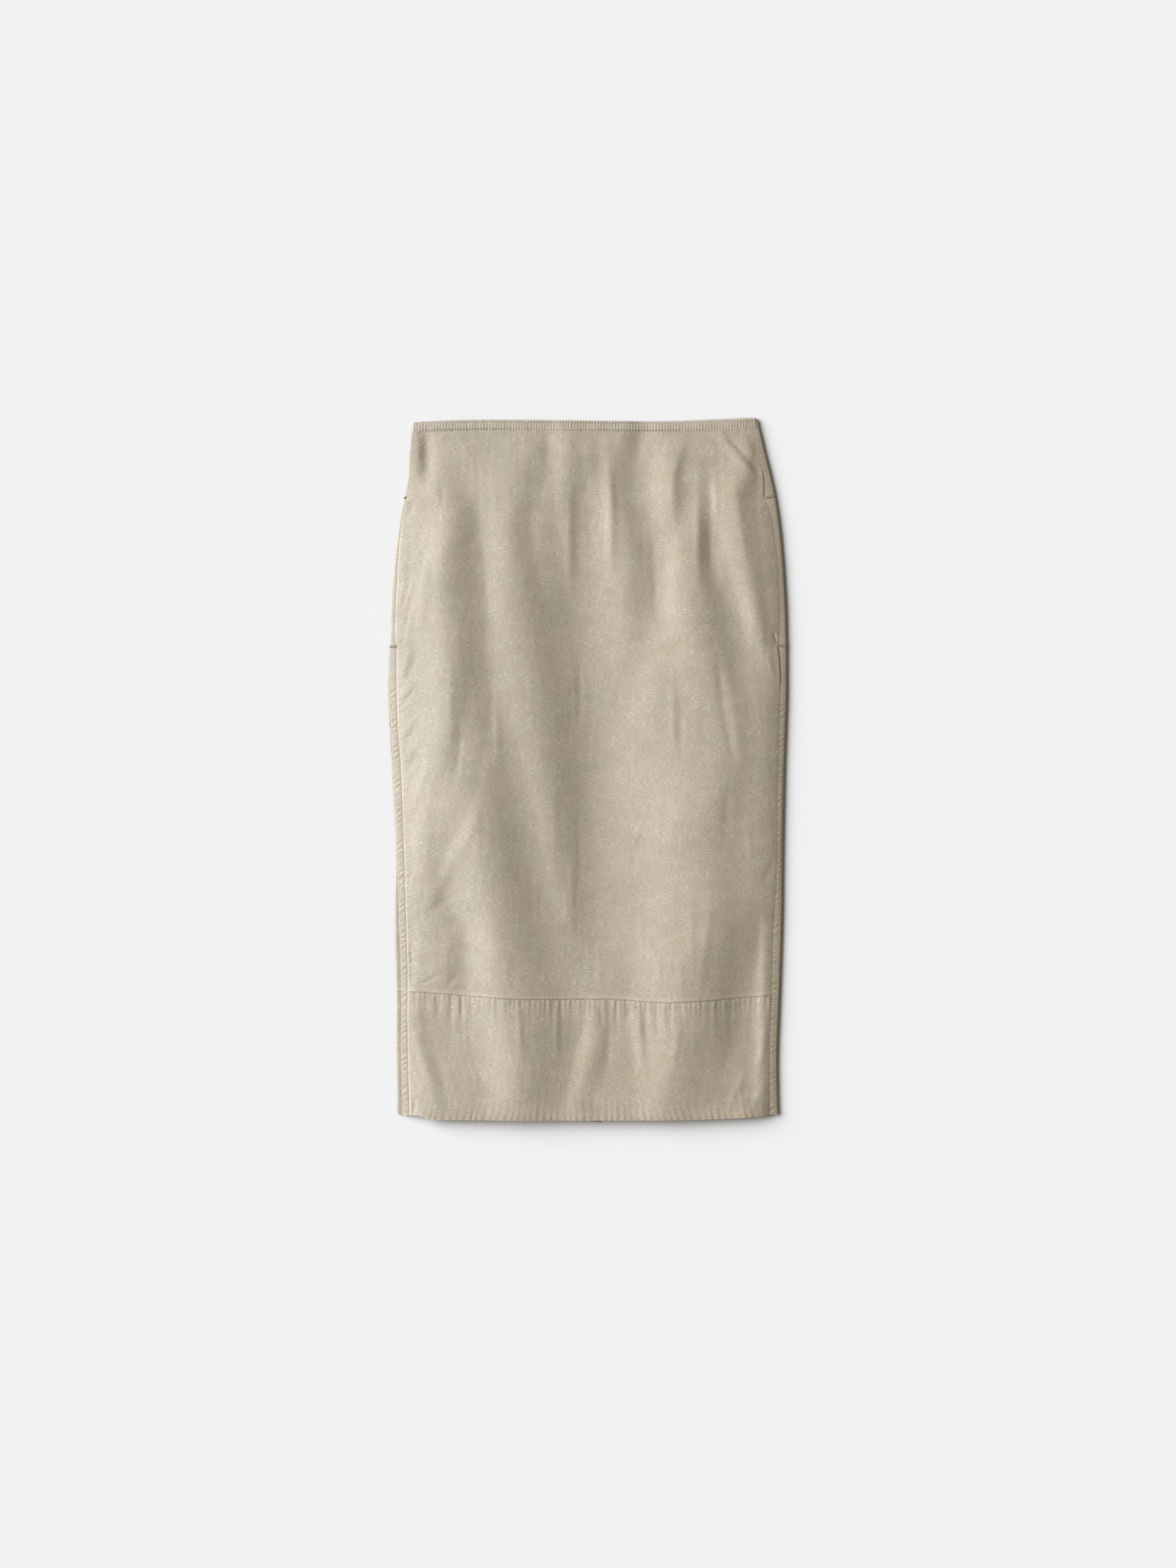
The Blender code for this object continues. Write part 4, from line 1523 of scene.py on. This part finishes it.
    def bar(self, name: str, trace: Line, spread: float) -> list[Piece]:
        """Sews a bar tack: two strands that follow the cloth, with close satin stitches between them.

        Args:
            name: The tack's name.
            trace: Its path, on the cloth's outside.
            spread: The strands' spacing.

        Returns:
            The strands' piece and the satin's piece.
        """
        points, ahead = self.stations(trace, self.strand_pitch)
        strand = self.bead(*self.strand_size, 6, (-0.9, -0.4, 0.4, 0.9))
        half = self.beside(ahead) * spread / 2
        strands = [self.spread(strand, points + half * way, ahead) for way in (-1.0, 1.0)]
        middles, ahead = self.stations(trace, self.satin_pitch)
        turned = self.beside(ahead) + self.satin_slant * ahead
        turned /= np.linalg.norm(turned, axis=1, keepdims=True)
        satin = self.bead(spread, *self.satin_size, 5, (-0.8, 0.0, 0.8))
        piece = self.grains(name, strands, self.tack)
        fill = self.grains(f"{name}_satin", [self.spread(satin, middles, turned)], self.thread)
        return [piece, fill]


class Tack(NamedTuple):
    """A bar tack from one place to another, with its strands' spacing, in millimetres."""

    name: str
    start: Span
    end: Span
    spread: float


TACKS = (
    Tack("tack_left_upper", (-201.6, 297.6), (-199.8, 299.4), 0.7),
    Tack("tack_left_lower", (-217.6, 134.8), (-209.4, 135.2), 1.9),
    Tack("tack_right_upper", (195.8, 298.2), (204.4, 300.6), 1.7),
    Tack("tack_right_lower", (208.4, 136.1), (218.9, 135.8), 1.6),
)


@dataclass
class Front:
    """The front panel, its hem band, its waistband and the two felled side seams."""

    form: SkirtForm
    shop: Workshop
    cloth: Material
    seam_gap: float = 0.0
    side_pitches: Span = (2.8 * MM, 2.85 * MM)
    hem_margin: float = 1.2 * MM
    waist_margin: float = 1.0 * MM
    tack_margin: float = 2.0 * MM
    left_inner_head: float = 242.0 * MM
    waist_pitch: float = 3.2 * MM
    waist_row_inset: float = 1.2 * MM
    waist_reach: float = 0.19
    band_pitch: float = 2.9 * MM
    band_thread: float = 0.7 * MM
    band_row_rise: float = 0.55 * MM
    tack_rise: float = 0.25 * MM
    pieces: list[Piece] = field(default_factory=list)
    stitches: dict[str, list[Piece]] = field(default_factory=dict)

    def surface(self, across: Array, level: Array) -> Array:
        """Points of the front's outside, one to a row."""
        return np.stack([across, level, self.form.front_height(across, level)], axis=1)

    def between_seams(self, lower: Line, upper: Line) -> Place:
        """The place function of a piece that spans the front between its side seams.

        Args:
            lower: The level of its lower edge.
            upper: The level of its upper edge.

        Returns:
            The place function.
        """

        def place(column: Array, row: Array) -> Points:
            """Its places."""
            level = level_between(lower, upper, self.form.rough_across(column), row)
            across = self.form.across_panel(column, level)
            return across, level, self.form.front_height(across, level)

        return place

    def build(self) -> None:
        """Lays every piece of the front."""
        form, gap = self.form, self.seam_gap / 2
        panel_edges = (lambda x: form.band_seam(x) + gap, lambda x: form.waist_seam(x) - gap)
        band_edges = (form.hem_edge, lambda x: form.band_seam(x) - gap)
        waist_edges = (lambda x: form.waist_seam(x) + gap, form.waist_edge)
        fine = graded(0.038, 0.0022, 0.0047)
        parts = (
            ("front_cloth", fine, even(385), self.between_seams(*panel_edges), (3, 4)),
            ("hem_band_cloth", even(360), even(64), self.between_seams(*band_edges), (3, 4)),
            ("waistband_cloth", even(430), even(14), self.whole_width(*waist_edges), (3, 2)),
        )
        panel, band, waist = (
            self.shop.sheet(name, columns, rows, place, form.wall, self.cloth, lining)
            for name, columns, rows, place, lining in parts
        )
        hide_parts("front_panel")
        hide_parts("hem_band_front")
        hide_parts("waistband_front")
        for side in Side:
            name = f"side_seam_{side.word}"
            strip = self.shop.sheet(name, even(10), even(900), self.felled(side), form.wall, self.cloth)
            self.pieces.append(strip)
        self.pieces += [panel, band, waist]
        for piece in self.pieces:
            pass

    def sew(self, needle: Stitcher) -> None:
        """Sews every row and tack of the front.

        Args:
            needle: What they are sewn with.
        """
        rows = self.sew_sides(needle)
        for tack in TACKS:
            rows += needle.bar(tack.name, self.across_margin(tack.start, tack.end), tack.spread * MM)
        self.stitches["front_cloth"] = rows
        traces = [self.waist_row(depth) for depth in self.form.waist_rows]
        self.stitches["waistband_cloth"] = needle.row("waist_rows", traces, self.waist_pitch, bold=1.35)
        self.stitches["hem_band_cloth"] = needle.row(
            "band_row", [self.band_row()], self.band_pitch, width=self.band_thread, bold=1.25
        )
        self.declare()

    def sew_sides(self, needle: Stitcher) -> list[Piece]:
        """Sews both rows of both side seams, leaving the pocket mouths open.

        Args:
            needle: What they are sewn with.

        Returns:
            The threads' pieces and the pieces of painted shade in the needle holes.
        """
        form, margin = self.form, self.tack_margin
        lower, upper = form.unsewn
        corners = {side: np.array(side.value * form.half_width) for side in Side}
        hems = {side: float(form.hem_edge(corners[side])) + self.hem_margin for side in Side}
        waist = float(form.waist_seam(corners[Side.RIGHT])) - self.waist_margin
        outer = [self.side_row(side, hems[side], lower - margin, True) for side in Side]
        outer.append(self.side_row(Side.RIGHT, upper + 1.5 * MM, waist, True))
        inner = [self.side_row(side, hems[side], lower - margin, False) for side in Side]
        inner.append(self.side_row(Side.LEFT, lower + margin, self.left_inner_head, False))
        inner.append(self.side_row(Side.RIGHT, lower + margin, upper - margin, False))
        rows = needle.row("outer_rows", outer, self.side_pitches[0])
        return rows + needle.row("inner_rows", inner, self.side_pitches[1], bold=0.8)

    def declare(self) -> None:
        """Takes the hem band's and the waistband's stitch pieces as lists, and does nothing more with them.
        """
        rows = self.stitches["hem_band_cloth"]
        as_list(rows)
        rows = self.stitches["waistband_cloth"]
        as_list(rows)

    def across_margin(self, start: Span, end: Span) -> Line:
        """The straight path over a side margin between two places, in millimetres.

        Args:
            start: How far across and at which level it begins.
            end: Where it ends.

        Returns:
            The path.
        """

        def trace(share: Array) -> Array:
            """Points of the path."""
            places = [tuple(a + (b - a) * part for a, b in zip(start, end)) for part in share]
            return np.array([self.on_margin(place) for place in places])

        return trace

    def on_margin(self, place: Span) -> Size:
        """The point just above a side margin's outside at such a place, in millimetres.

        Args:
            place: How far across and at which level.

        Returns:
            X, Y and Z in metres.
        """
        form = self.form
        side = Side.LEFT if place[0] < 0 else Side.RIGHT
        across, level = place[0] * MM, np.array([place[1] * MM])
        inset = form.lap_edge(side, level) - abs(across)
        if inset[0] > form.strip_width(side, level)[0]:
            height = form.front_height(np.array([across]), level)[0]
        elif inset[0] > 0.0:
            height = form.strip_point(side, level, inset)[2][0]
        else:
            out = abs(across) - form.fold_centre(side, level)[0]
            share = min(max(out / form.fold_reach.at(side), 0.0), 1.0)
            height = form.fold_radius * (1.0 + math.sqrt(1.0 - share**2))
        return across, place[1] * MM, float(height) + self.tack_rise

    def side_row(self, side: Side, foot: float, head: float, outer: bool) -> Line:
        """The path of a side seam's outer or inner row between two levels.

        Args:
            side: Which side seam.
            foot: Its lower end.
            head: Its upper end.
            outer: Whether it is the outer row.

        Returns:
            The path.
        """

        def trace(share: Array) -> Array:
            """Points of the path."""
            level = foot + (head - foot) * share
            width = self.form.strip_width(side, level)
            inset = self.form.outer_row(side, level) if outer else width - 0.2 * MM
            return np.stack(self.form.strip_point(side, level, inset), axis=1)

        return trace

    def waist_row(self, depth: float) -> Line:
        """The path of a waistband row.

        Args:
            depth: How far below the upper edge it runs.

        Returns:
            The path.
        """

        def trace(share: Array) -> Array:
            """Points of the path."""
            form, inset = self.form, self.waist_row_inset
            levels = {side: form.waist_edge(np.array(side.value * self.waist_reach)) - depth for side in Side}
            left, right = (float(form.lap_edge(side, levels[side])) for side in Side)
            across = -left + inset + (left + right - 2 * inset) * share
            return self.surface(across, form.waist_edge(across) - depth)

        return trace

    def band_row(self) -> Line:
        """The path of the row along the seam above the hem band."""

        def trace(share: Array) -> Array:
            """Points of the path."""
            form = self.form
            level = form.band_seam(form.rough_across(share)) + self.band_row_rise
            across = form.across_panel(share, level)
            return self.surface(across, form.band_seam(across) + self.band_row_rise)

        return trace

    def felled(self, side: Side) -> Place:
        """The place function of one felled side seam, from hem to waistband.

        Args:
            side: Which side seam.

        Returns:
            The place function.
        """

        def place(column: Array, row: Array) -> Points:
            """Its places."""
            column = column if side is Side.LEFT else 1.0 - column
            rough = np.full_like(column, side.value * self.form.half_width)
            level = level_between(
                self.form.hem_edge, lambda x: self.form.waist_seam(x) - self.seam_gap / 2, rough, row
            )
            return self.form.strip_point(side, level, column * self.form.strip_width(side, level))

        return place

    def whole_width(self, lower: Line, upper: Line) -> Place:
        """The place function of a piece that spans the front with its lapped margins.

        Args:
            lower: The level of its lower edge.
            upper: The level of its upper edge.

        Returns:
            The place function.
        """

        def place(column: Array, row: Array) -> Points:
            """Its places."""
            form = self.form
            level = level_between(lower, upper, form.rough_across(column), row)
            width = form.lap_edge(Side.LEFT, level) + form.lap_edge(Side.RIGHT, level)
            margins = [form.strip_width(side, level) / width for side in Side]
            share = held((column - margins[0]) / (1.0 - margins[0] - margins[1]))
            across = form.across_panel(share, level)
            height = form.front_height(across, level)
            for side, inset in ((Side.LEFT, column * width), (Side.RIGHT, (1.0 - column) * width)):
                edge = form.strip_point(side, level, inset)
                within = inset < form.strip_width(side, level)
                across = np.where(within, edge[0], across)
                height = np.where(within, edge[2], height)
            return across, level, height

        return place


@dataclass
class Back:
    """The back panels, hem bands and waistbands, wrapped up round both sides."""

    form: SkirtForm
    shop: Workshop
    cloth: Material
    needle: Stitcher
    seam_gap: float = 0.3 * MM
    vent_underlap: float = 36.0 * MM
    vent_step_run: float = 4.0 * MM
    row_start: float = 3.0 * MM
    row_end: float = 0.18
    row_height: float = 0.08 * MM
    row_pitch: float = 3.2 * MM
    band_row_drop: float = 1.6 * MM

    def build(self) -> None:
        """Lays every piece of the back."""
        form, gap = self.form, self.seam_gap / 2
        columns = even(24)[:-1] + spaced(1.0, 2.0, 1 / 14)[:-1] + spaced(2.0, 3.0, 1 / 5)
        for side in Side:
            left = side is Side.LEFT
            start = form.centre_back + side.value * gap
            hem = form.vent_hem_edge if left else form.back_hem_edge
            parts = (
                ("back_panel", lambda x: form.band_seam(x) + gap, lambda x: form.waist_seam(x) - gap, 320),
                ("waistband_back", lambda x: form.waist_seam(x) + gap, form.waist_edge, 12),
                ("hem_band_back", hem, lambda x: form.band_seam(x) - gap, 70),
            )
            sewn = self.rows(side)
            for node, lower, upper, rows in parts:
                under = node == "hem_band_back" and not left
                stations = ([-index / 12 for index in range(12, 0, -1)] if under else []) + columns
                piece = self.shop.sheet(
                    f"{node}_{side.word}_cloth",
                    stations,
                    even(rows),
                    self.wrapped(side, start, lower, upper),
                    form.wall,
                    self.cloth,
                    (2, 4),
                )
                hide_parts(f"{node}_{side.word}")
                # No light thrown back on the paper, as a dark flag beside it would do.
                piece.visible_diffuse = False

    def rows(self, side: Side) -> dict[str, list[Piece]]:
        """Sews the rows of one half of the back, sunk level with its outside.

        Args:
            side: Which half.

        Returns:
            The sewn pieces by the node that they lie on.
        """
        form = self.form
        start, end = form.centre_back + side.value * self.row_start, side.value * self.row_end
        levels = {
            "waistband_back": [lambda x, row=row: form.waist_edge(x) - row for row in form.waist_rows],
            "hem_band_back": [lambda x: form.band_seam(x) - self.band_row_drop],
        }

        def traced(level: Line) -> Line:
            """The path of a row that runs at such a level."""

            def trace(share: Array) -> Array:
                """Points of the path."""
                across = start + (end - start) * share
                return np.stack([across, level(across), np.full_like(across, self.row_height)], axis=1)

            return trace

        sewn = {}
        for node, kinds in levels.items():
            traces = [traced(level) for level in kinds]
            sewn[node] = self.needle.row(f"{node}_{side.word}_rows", traces, self.row_pitch)
        return sewn

    def wrapped(self, side: Side, start: float, lower: Line, upper: Line) -> Place:
        """The place function of a piece of one half of the back; columns below 0 run under the vent's lap.

        Args:
            side: Which half.
            start: Where the piece starts along X.
            lower: The level of its lower edge.
            upper: The level of its upper edge.

        Returns:
            The place function.
        """

        def place(column: Array, row: Array) -> Points:
            """Its places."""
            form = self.form
            if side is Side.RIGHT:
                column = column.min() + column.max() - column
            end = side.value * form.half_width
            flat_start = start + (self.vent_step_run if column.min() < 0 else 0.0)
            under_end = form.centre_back - self.vent_underlap
            under_x = flat_start + (under_end - flat_start) * -np.minimum(column, 0.0)
            flat_x = flat_start + (end - flat_start) * held(column)
            level = level_between(lower, upper, np.where(column < 0, under_x, flat_x), row)
            across, level, height = form.back_point(side, flat_start, column, level)
            step_up = form.lap * ease((flat_start - under_x) / (self.vent_step_run - self.seam_gap))
            return np.where(column < 0, under_x, across), level, np.where(column < 0, step_up, height)

        return place


@dataclass
class PocketBags:
    """The flat bags inside the side seams, lying on the back from the side folds inwards."""

    form: SkirtForm
    shop: Workshop
    cloth: Material
    head: float = 326.0 * MM
    foot: float = 78.0 * MM
    reach: float = 150.0 * MM
    end_reach: float = 42.0 * MM
    wall: float = 0.9 * MM
    clearance: float = 0.3 * MM
    cut_share: float = 0.88

    def build(self) -> None:
        """Lays both bags."""
        for side in Side:
            name = f"pocket_bag_{side.word}_cloth"
            bag = self.shop.sheet(name, even(24), even(48), self.flat_bag(side), self.wall, self.cloth)
            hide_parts(f"pocket_bag_{side.word}")

    def flat_bag(self, side: Side) -> Place:
        """The place function of one bag, rounded towards its head and foot.

        Args:
            side: Which side it lies on.

        Returns:
            The place function.
        """

        def place(column: Array, row: Array) -> Points:
            """Its places."""
            level = self.foot + (self.head - self.foot) * row
            swell = np.sqrt(held(1.0 - (2.0 * row - 1.0) ** 2))
            width = self.end_reach + (self.reach - self.end_reach) * swell
            share = 1.0 - column if side is Side.RIGHT else column
            across = side.value * (self.form.fold_centre(side, level) - width * share)
            height = np.full_like(level, self.form.wall + self.clearance + self.wall)
            return across, level, height

        return place


class Block(NamedTuple):
    """A small metal part of the zip: its size, how far below the tape's head and how high its middle is."""

    name: str
    size: Size
    below: float
    above: float


@dataclass
class BackZip:
    """The closed zip inside the centre back seam: its tape, coil, slider, pull and bottom stop."""

    form: SkirtForm
    shop: Workshop
    needle: Stitcher
    tape: Material
    metal: Material
    width: float = 24.0 * MM
    length: float = 190.0 * MM
    tape_wall: float = 0.6 * MM
    clearance: float = 0.2 * MM
    head_drop: float = 0.5 * MM
    coil_ends: float = 8.0 * MM
    coil_pitch: float = 1.3 * MM
    coil_offset: float = 0.7 * MM
    coil_rise: float = 0.22 * MM
    coil_turn: Size = (2.9 * MM, 0.9 * MM, 0.5 * MM)
    rounding: float = 0.3 * MM
    blocks: tuple[Block, ...] = (
        Block("zip_slider", (7.0 * MM, 9.0 * MM, 2.0 * MM), 6.0 * MM, 1.2 * MM),
        Block("zip_pull", (3.4 * MM, 13.0 * MM, 0.7 * MM), 13.0 * MM, 2.65 * MM),
        Block("zip_stop", (5.0 * MM, 2.4 * MM, 0.8 * MM), 183.0 * MM, 0.45 * MM),
    )

    def build(self) -> None:
        """Lays the tape and everything on it."""
        head = float(self.form.waist_seam(np.array(self.form.centre_back))) - self.head_drop
        top = self.form.wall + self.clearance + self.tape_wall

        def place(column: Array, row: Array) -> Points:
            """Its places."""
            across = self.form.centre_back + self.width * (column - 0.5)
            return across, head - self.length * (1.0 - row), np.full_like(row, top)

        tape = self.shop.sheet("zip_tape_cloth", even(12), even(40), place, self.tape_wall, self.tape)
        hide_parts("back_zip")
        parts = [self.coil(head, top)] + [self.block(block, head, top) for block in self.blocks]

    def coil(self, head: float, top: float) -> Piece:
        """The meshed turns of the coil along the middle of the tape.

        Args:
            head: The level of the tape's upper end.
            top: The height of the tape's inside.

        Returns:
            The coil.
        """
        levels = np.arange(head - self.length + self.coil_ends, head - self.coil_ends, self.coil_pitch)
        offsets = np.where(np.arange(len(levels)) % 2 == 0, -self.coil_offset, self.coil_offset)
        heights = np.full_like(levels, top + self.coil_rise)
        centres = np.stack([self.form.centre_back + offsets, levels, heights], axis=1)
        ahead = np.tile((1.0, 0.0, 0.0), (len(levels), 1))
        turn = self.needle.bead(*self.coil_turn, 6, (-0.8, 0.0, 0.8))
        return self.needle.grains("zip_coil", [self.needle.spread(turn, centres, ahead)], self.tape)

    def block(self, block: Block, head: float, top: float) -> Piece:
        """A small metal part with rounded edges on the zip's middle line.

        Args:
            block: The part.
            head: The level of the tape's upper end.
            top: The height of the tape's inside.

        Returns:
            The finished part.
        """
        self.shop.deselect()
        place = (self.form.centre_back, head - block.below, top + block.above)
        bpy.ops.mesh.primitive_cube_add(size=1.0, location=place)
        part = bpy.context.object
        part.scale = block.size
        bpy.ops.object.transform_apply(location=True, rotation=True, scale=True)
        bevel = part.modifiers.new("rounded_edges", "BEVEL")
        bevel.width, bevel.segments = self.rounding, 3
        bpy.ops.object.modifier_apply(modifier=bevel.name)
        return self.shop.finish_piece(part, block.name, self.metal)


@dataclass
class Studio:
    """The pale ground, the lights and the camera."""

    view_height: float = 1.7254
    camera_height: float = 3.5
    paper_width: float = 8.0
    camera_x: float = 0.0004
    camera_y: float = -0.016
    sensor: float = 36.0
    brightness: float = 0.985
    sun_share: float = 0.86
    sun_elevation: float = math.radians(33)
    sun_azimuth: float = math.radians(22)
    sun_softness: float = math.radians(48)
    sun_colour: Size = (0.985, 1.0, 1.028)
    sky_colour: Colour = (1.09, 1.0, 0.83, 1.0)
    side_light: Size = (-0.9, 0.15, 0.35)
    side_light_size: Span = (0.25, 0.9)
    side_light_power: float = 4.0
    side_light_colour: Size = (0.49, 0.73, 1.0)

    def build(self, floor: Material) -> None:
        """Sets up the ground, lights and camera."""
        self.ground(floor)
        self.sun()
        self.sky()
        self.side_softbox()
        self.camera()

    def ground(self, floor: Material) -> None:
        """A wide sheet of paper just under the skirt."""
        Workshop.deselect()
        bpy.ops.mesh.primitive_plane_add(size=self.paper_width, location=(0.0, 0.0, 0.0))
        plane = bpy.context.object
        plane.name = "floor"
        plane.data.materials.append(floor)

    def sun(self) -> None:
        """A broad soft light low from the left and a little from the waist's end."""
        bpy.ops.object.light_add(type="SUN", location=(-1.0, 0.5, 1.0))
        sun = bpy.context.object
        sun.name = "broad_light"
        sun.data.energy = math.pi * self.brightness * self.sun_share / math.sin(self.sun_elevation)
        sun.data.angle = self.sun_softness
        sun.data.color = self.sun_colour
        sun.rotation_euler = (0.0, -(math.pi / 2 - self.sun_elevation), -self.sun_azimuth)

    def sky(self) -> None:
        """An even, slightly warm surround."""
        world = bpy.data.worlds.new("studio_sky")
        world.use_nodes = True
        background = world.node_tree.nodes["Background"]
        background.inputs["Color"].default_value = self.sky_colour
        background.inputs["Strength"].default_value = self.brightness * (1.0 - self.sun_share)
        bpy.context.scene.world = world
        bpy.context.scene.view_settings.view_transform = "Standard"

    def side_softbox(self) -> None:
        """A small softbox close to the left side, flagged off the paper so that the ground stays even."""
        bpy.ops.object.light_add(type="AREA", location=self.side_light)
        box = bpy.context.object
        box.name = "side_softbox"
        box.data.shape = "RECTANGLE"
        box.data.size, box.data.size_y = self.side_light_size
        box.data.energy = self.side_light_power
        box.data.color = self.side_light_colour
        box.rotation_euler = Vector(self.side_light).to_track_quat("Z", "Y").to_euler()
        garment = bpy.data.collections.new("garment")
        for item in bpy.data.objects:
            if item.type == "MESH" and item.name != "floor":
                garment.objects.link(item)
        box.light_linking.receiver_collection = garment

    def camera(self) -> None:
        """A camera straight above."""
        bpy.ops.object.camera_add(location=(self.camera_x, self.camera_y, self.camera_height))
        camera = bpy.context.object
        camera.data.sensor_width = self.sensor
        camera.data.lens = self.sensor * self.camera_height / self.view_height
        camera.rotation_euler = (0.0, 0.0, 0.0)
        bpy.context.scene.camera = camera


def main() -> None:
    """Loads the frame, lays and sews every piece, and sets the studio."""
    logging.basicConfig(level=logging.INFO, format="%(name)s: %(message)s")
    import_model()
    form = SkirtForm()
    shop = Workshop(form.wear)
    cloth = ClothFinish(
        "skirt_cloth", (0.466, 0.391, 0.281, 1.0), (0.513, 0.409, 0.304, 1.0), (0.695, 0.622, 0.510, 1.0)
    ).make()
    front = Front(form, shop, cloth)
    front.build()
    needle = Stitcher(
        ThreadFinish("seam_thread", (0.52, 0.43, 0.33, 1.0)).make(),
        # A near-black brown that paints the shade in each needle hole
        ThreadFinish("needle_dimple", (0.115, 0.068, 0.040, 1.0)).make(),
        ThreadFinish("tack_thread", (0.23, 0.12, 0.07, 1.0)).make(),
        shop,
    )
    front.sew(needle)
    Back(form, shop, cloth, needle).build()
    pocketing = ClothFinish(
        "pocketing", (0.40, 0.35, 0.28, 1.0), (0.43, 0.36, 0.28, 1.0), (0.55, 0.48, 0.38, 1.0), slub_share=0.2
    ).make()
    PocketBags(form, shop, pocketing).build()
    metal = ThreadFinish("zip_metal", (0.36, 0.33, 0.29, 1.0)).make()
    BackZip(form, shop, needle, pocketing, metal).build()
    Studio().build(FloorFinish().make())


if __name__ == "__main__":
    main()
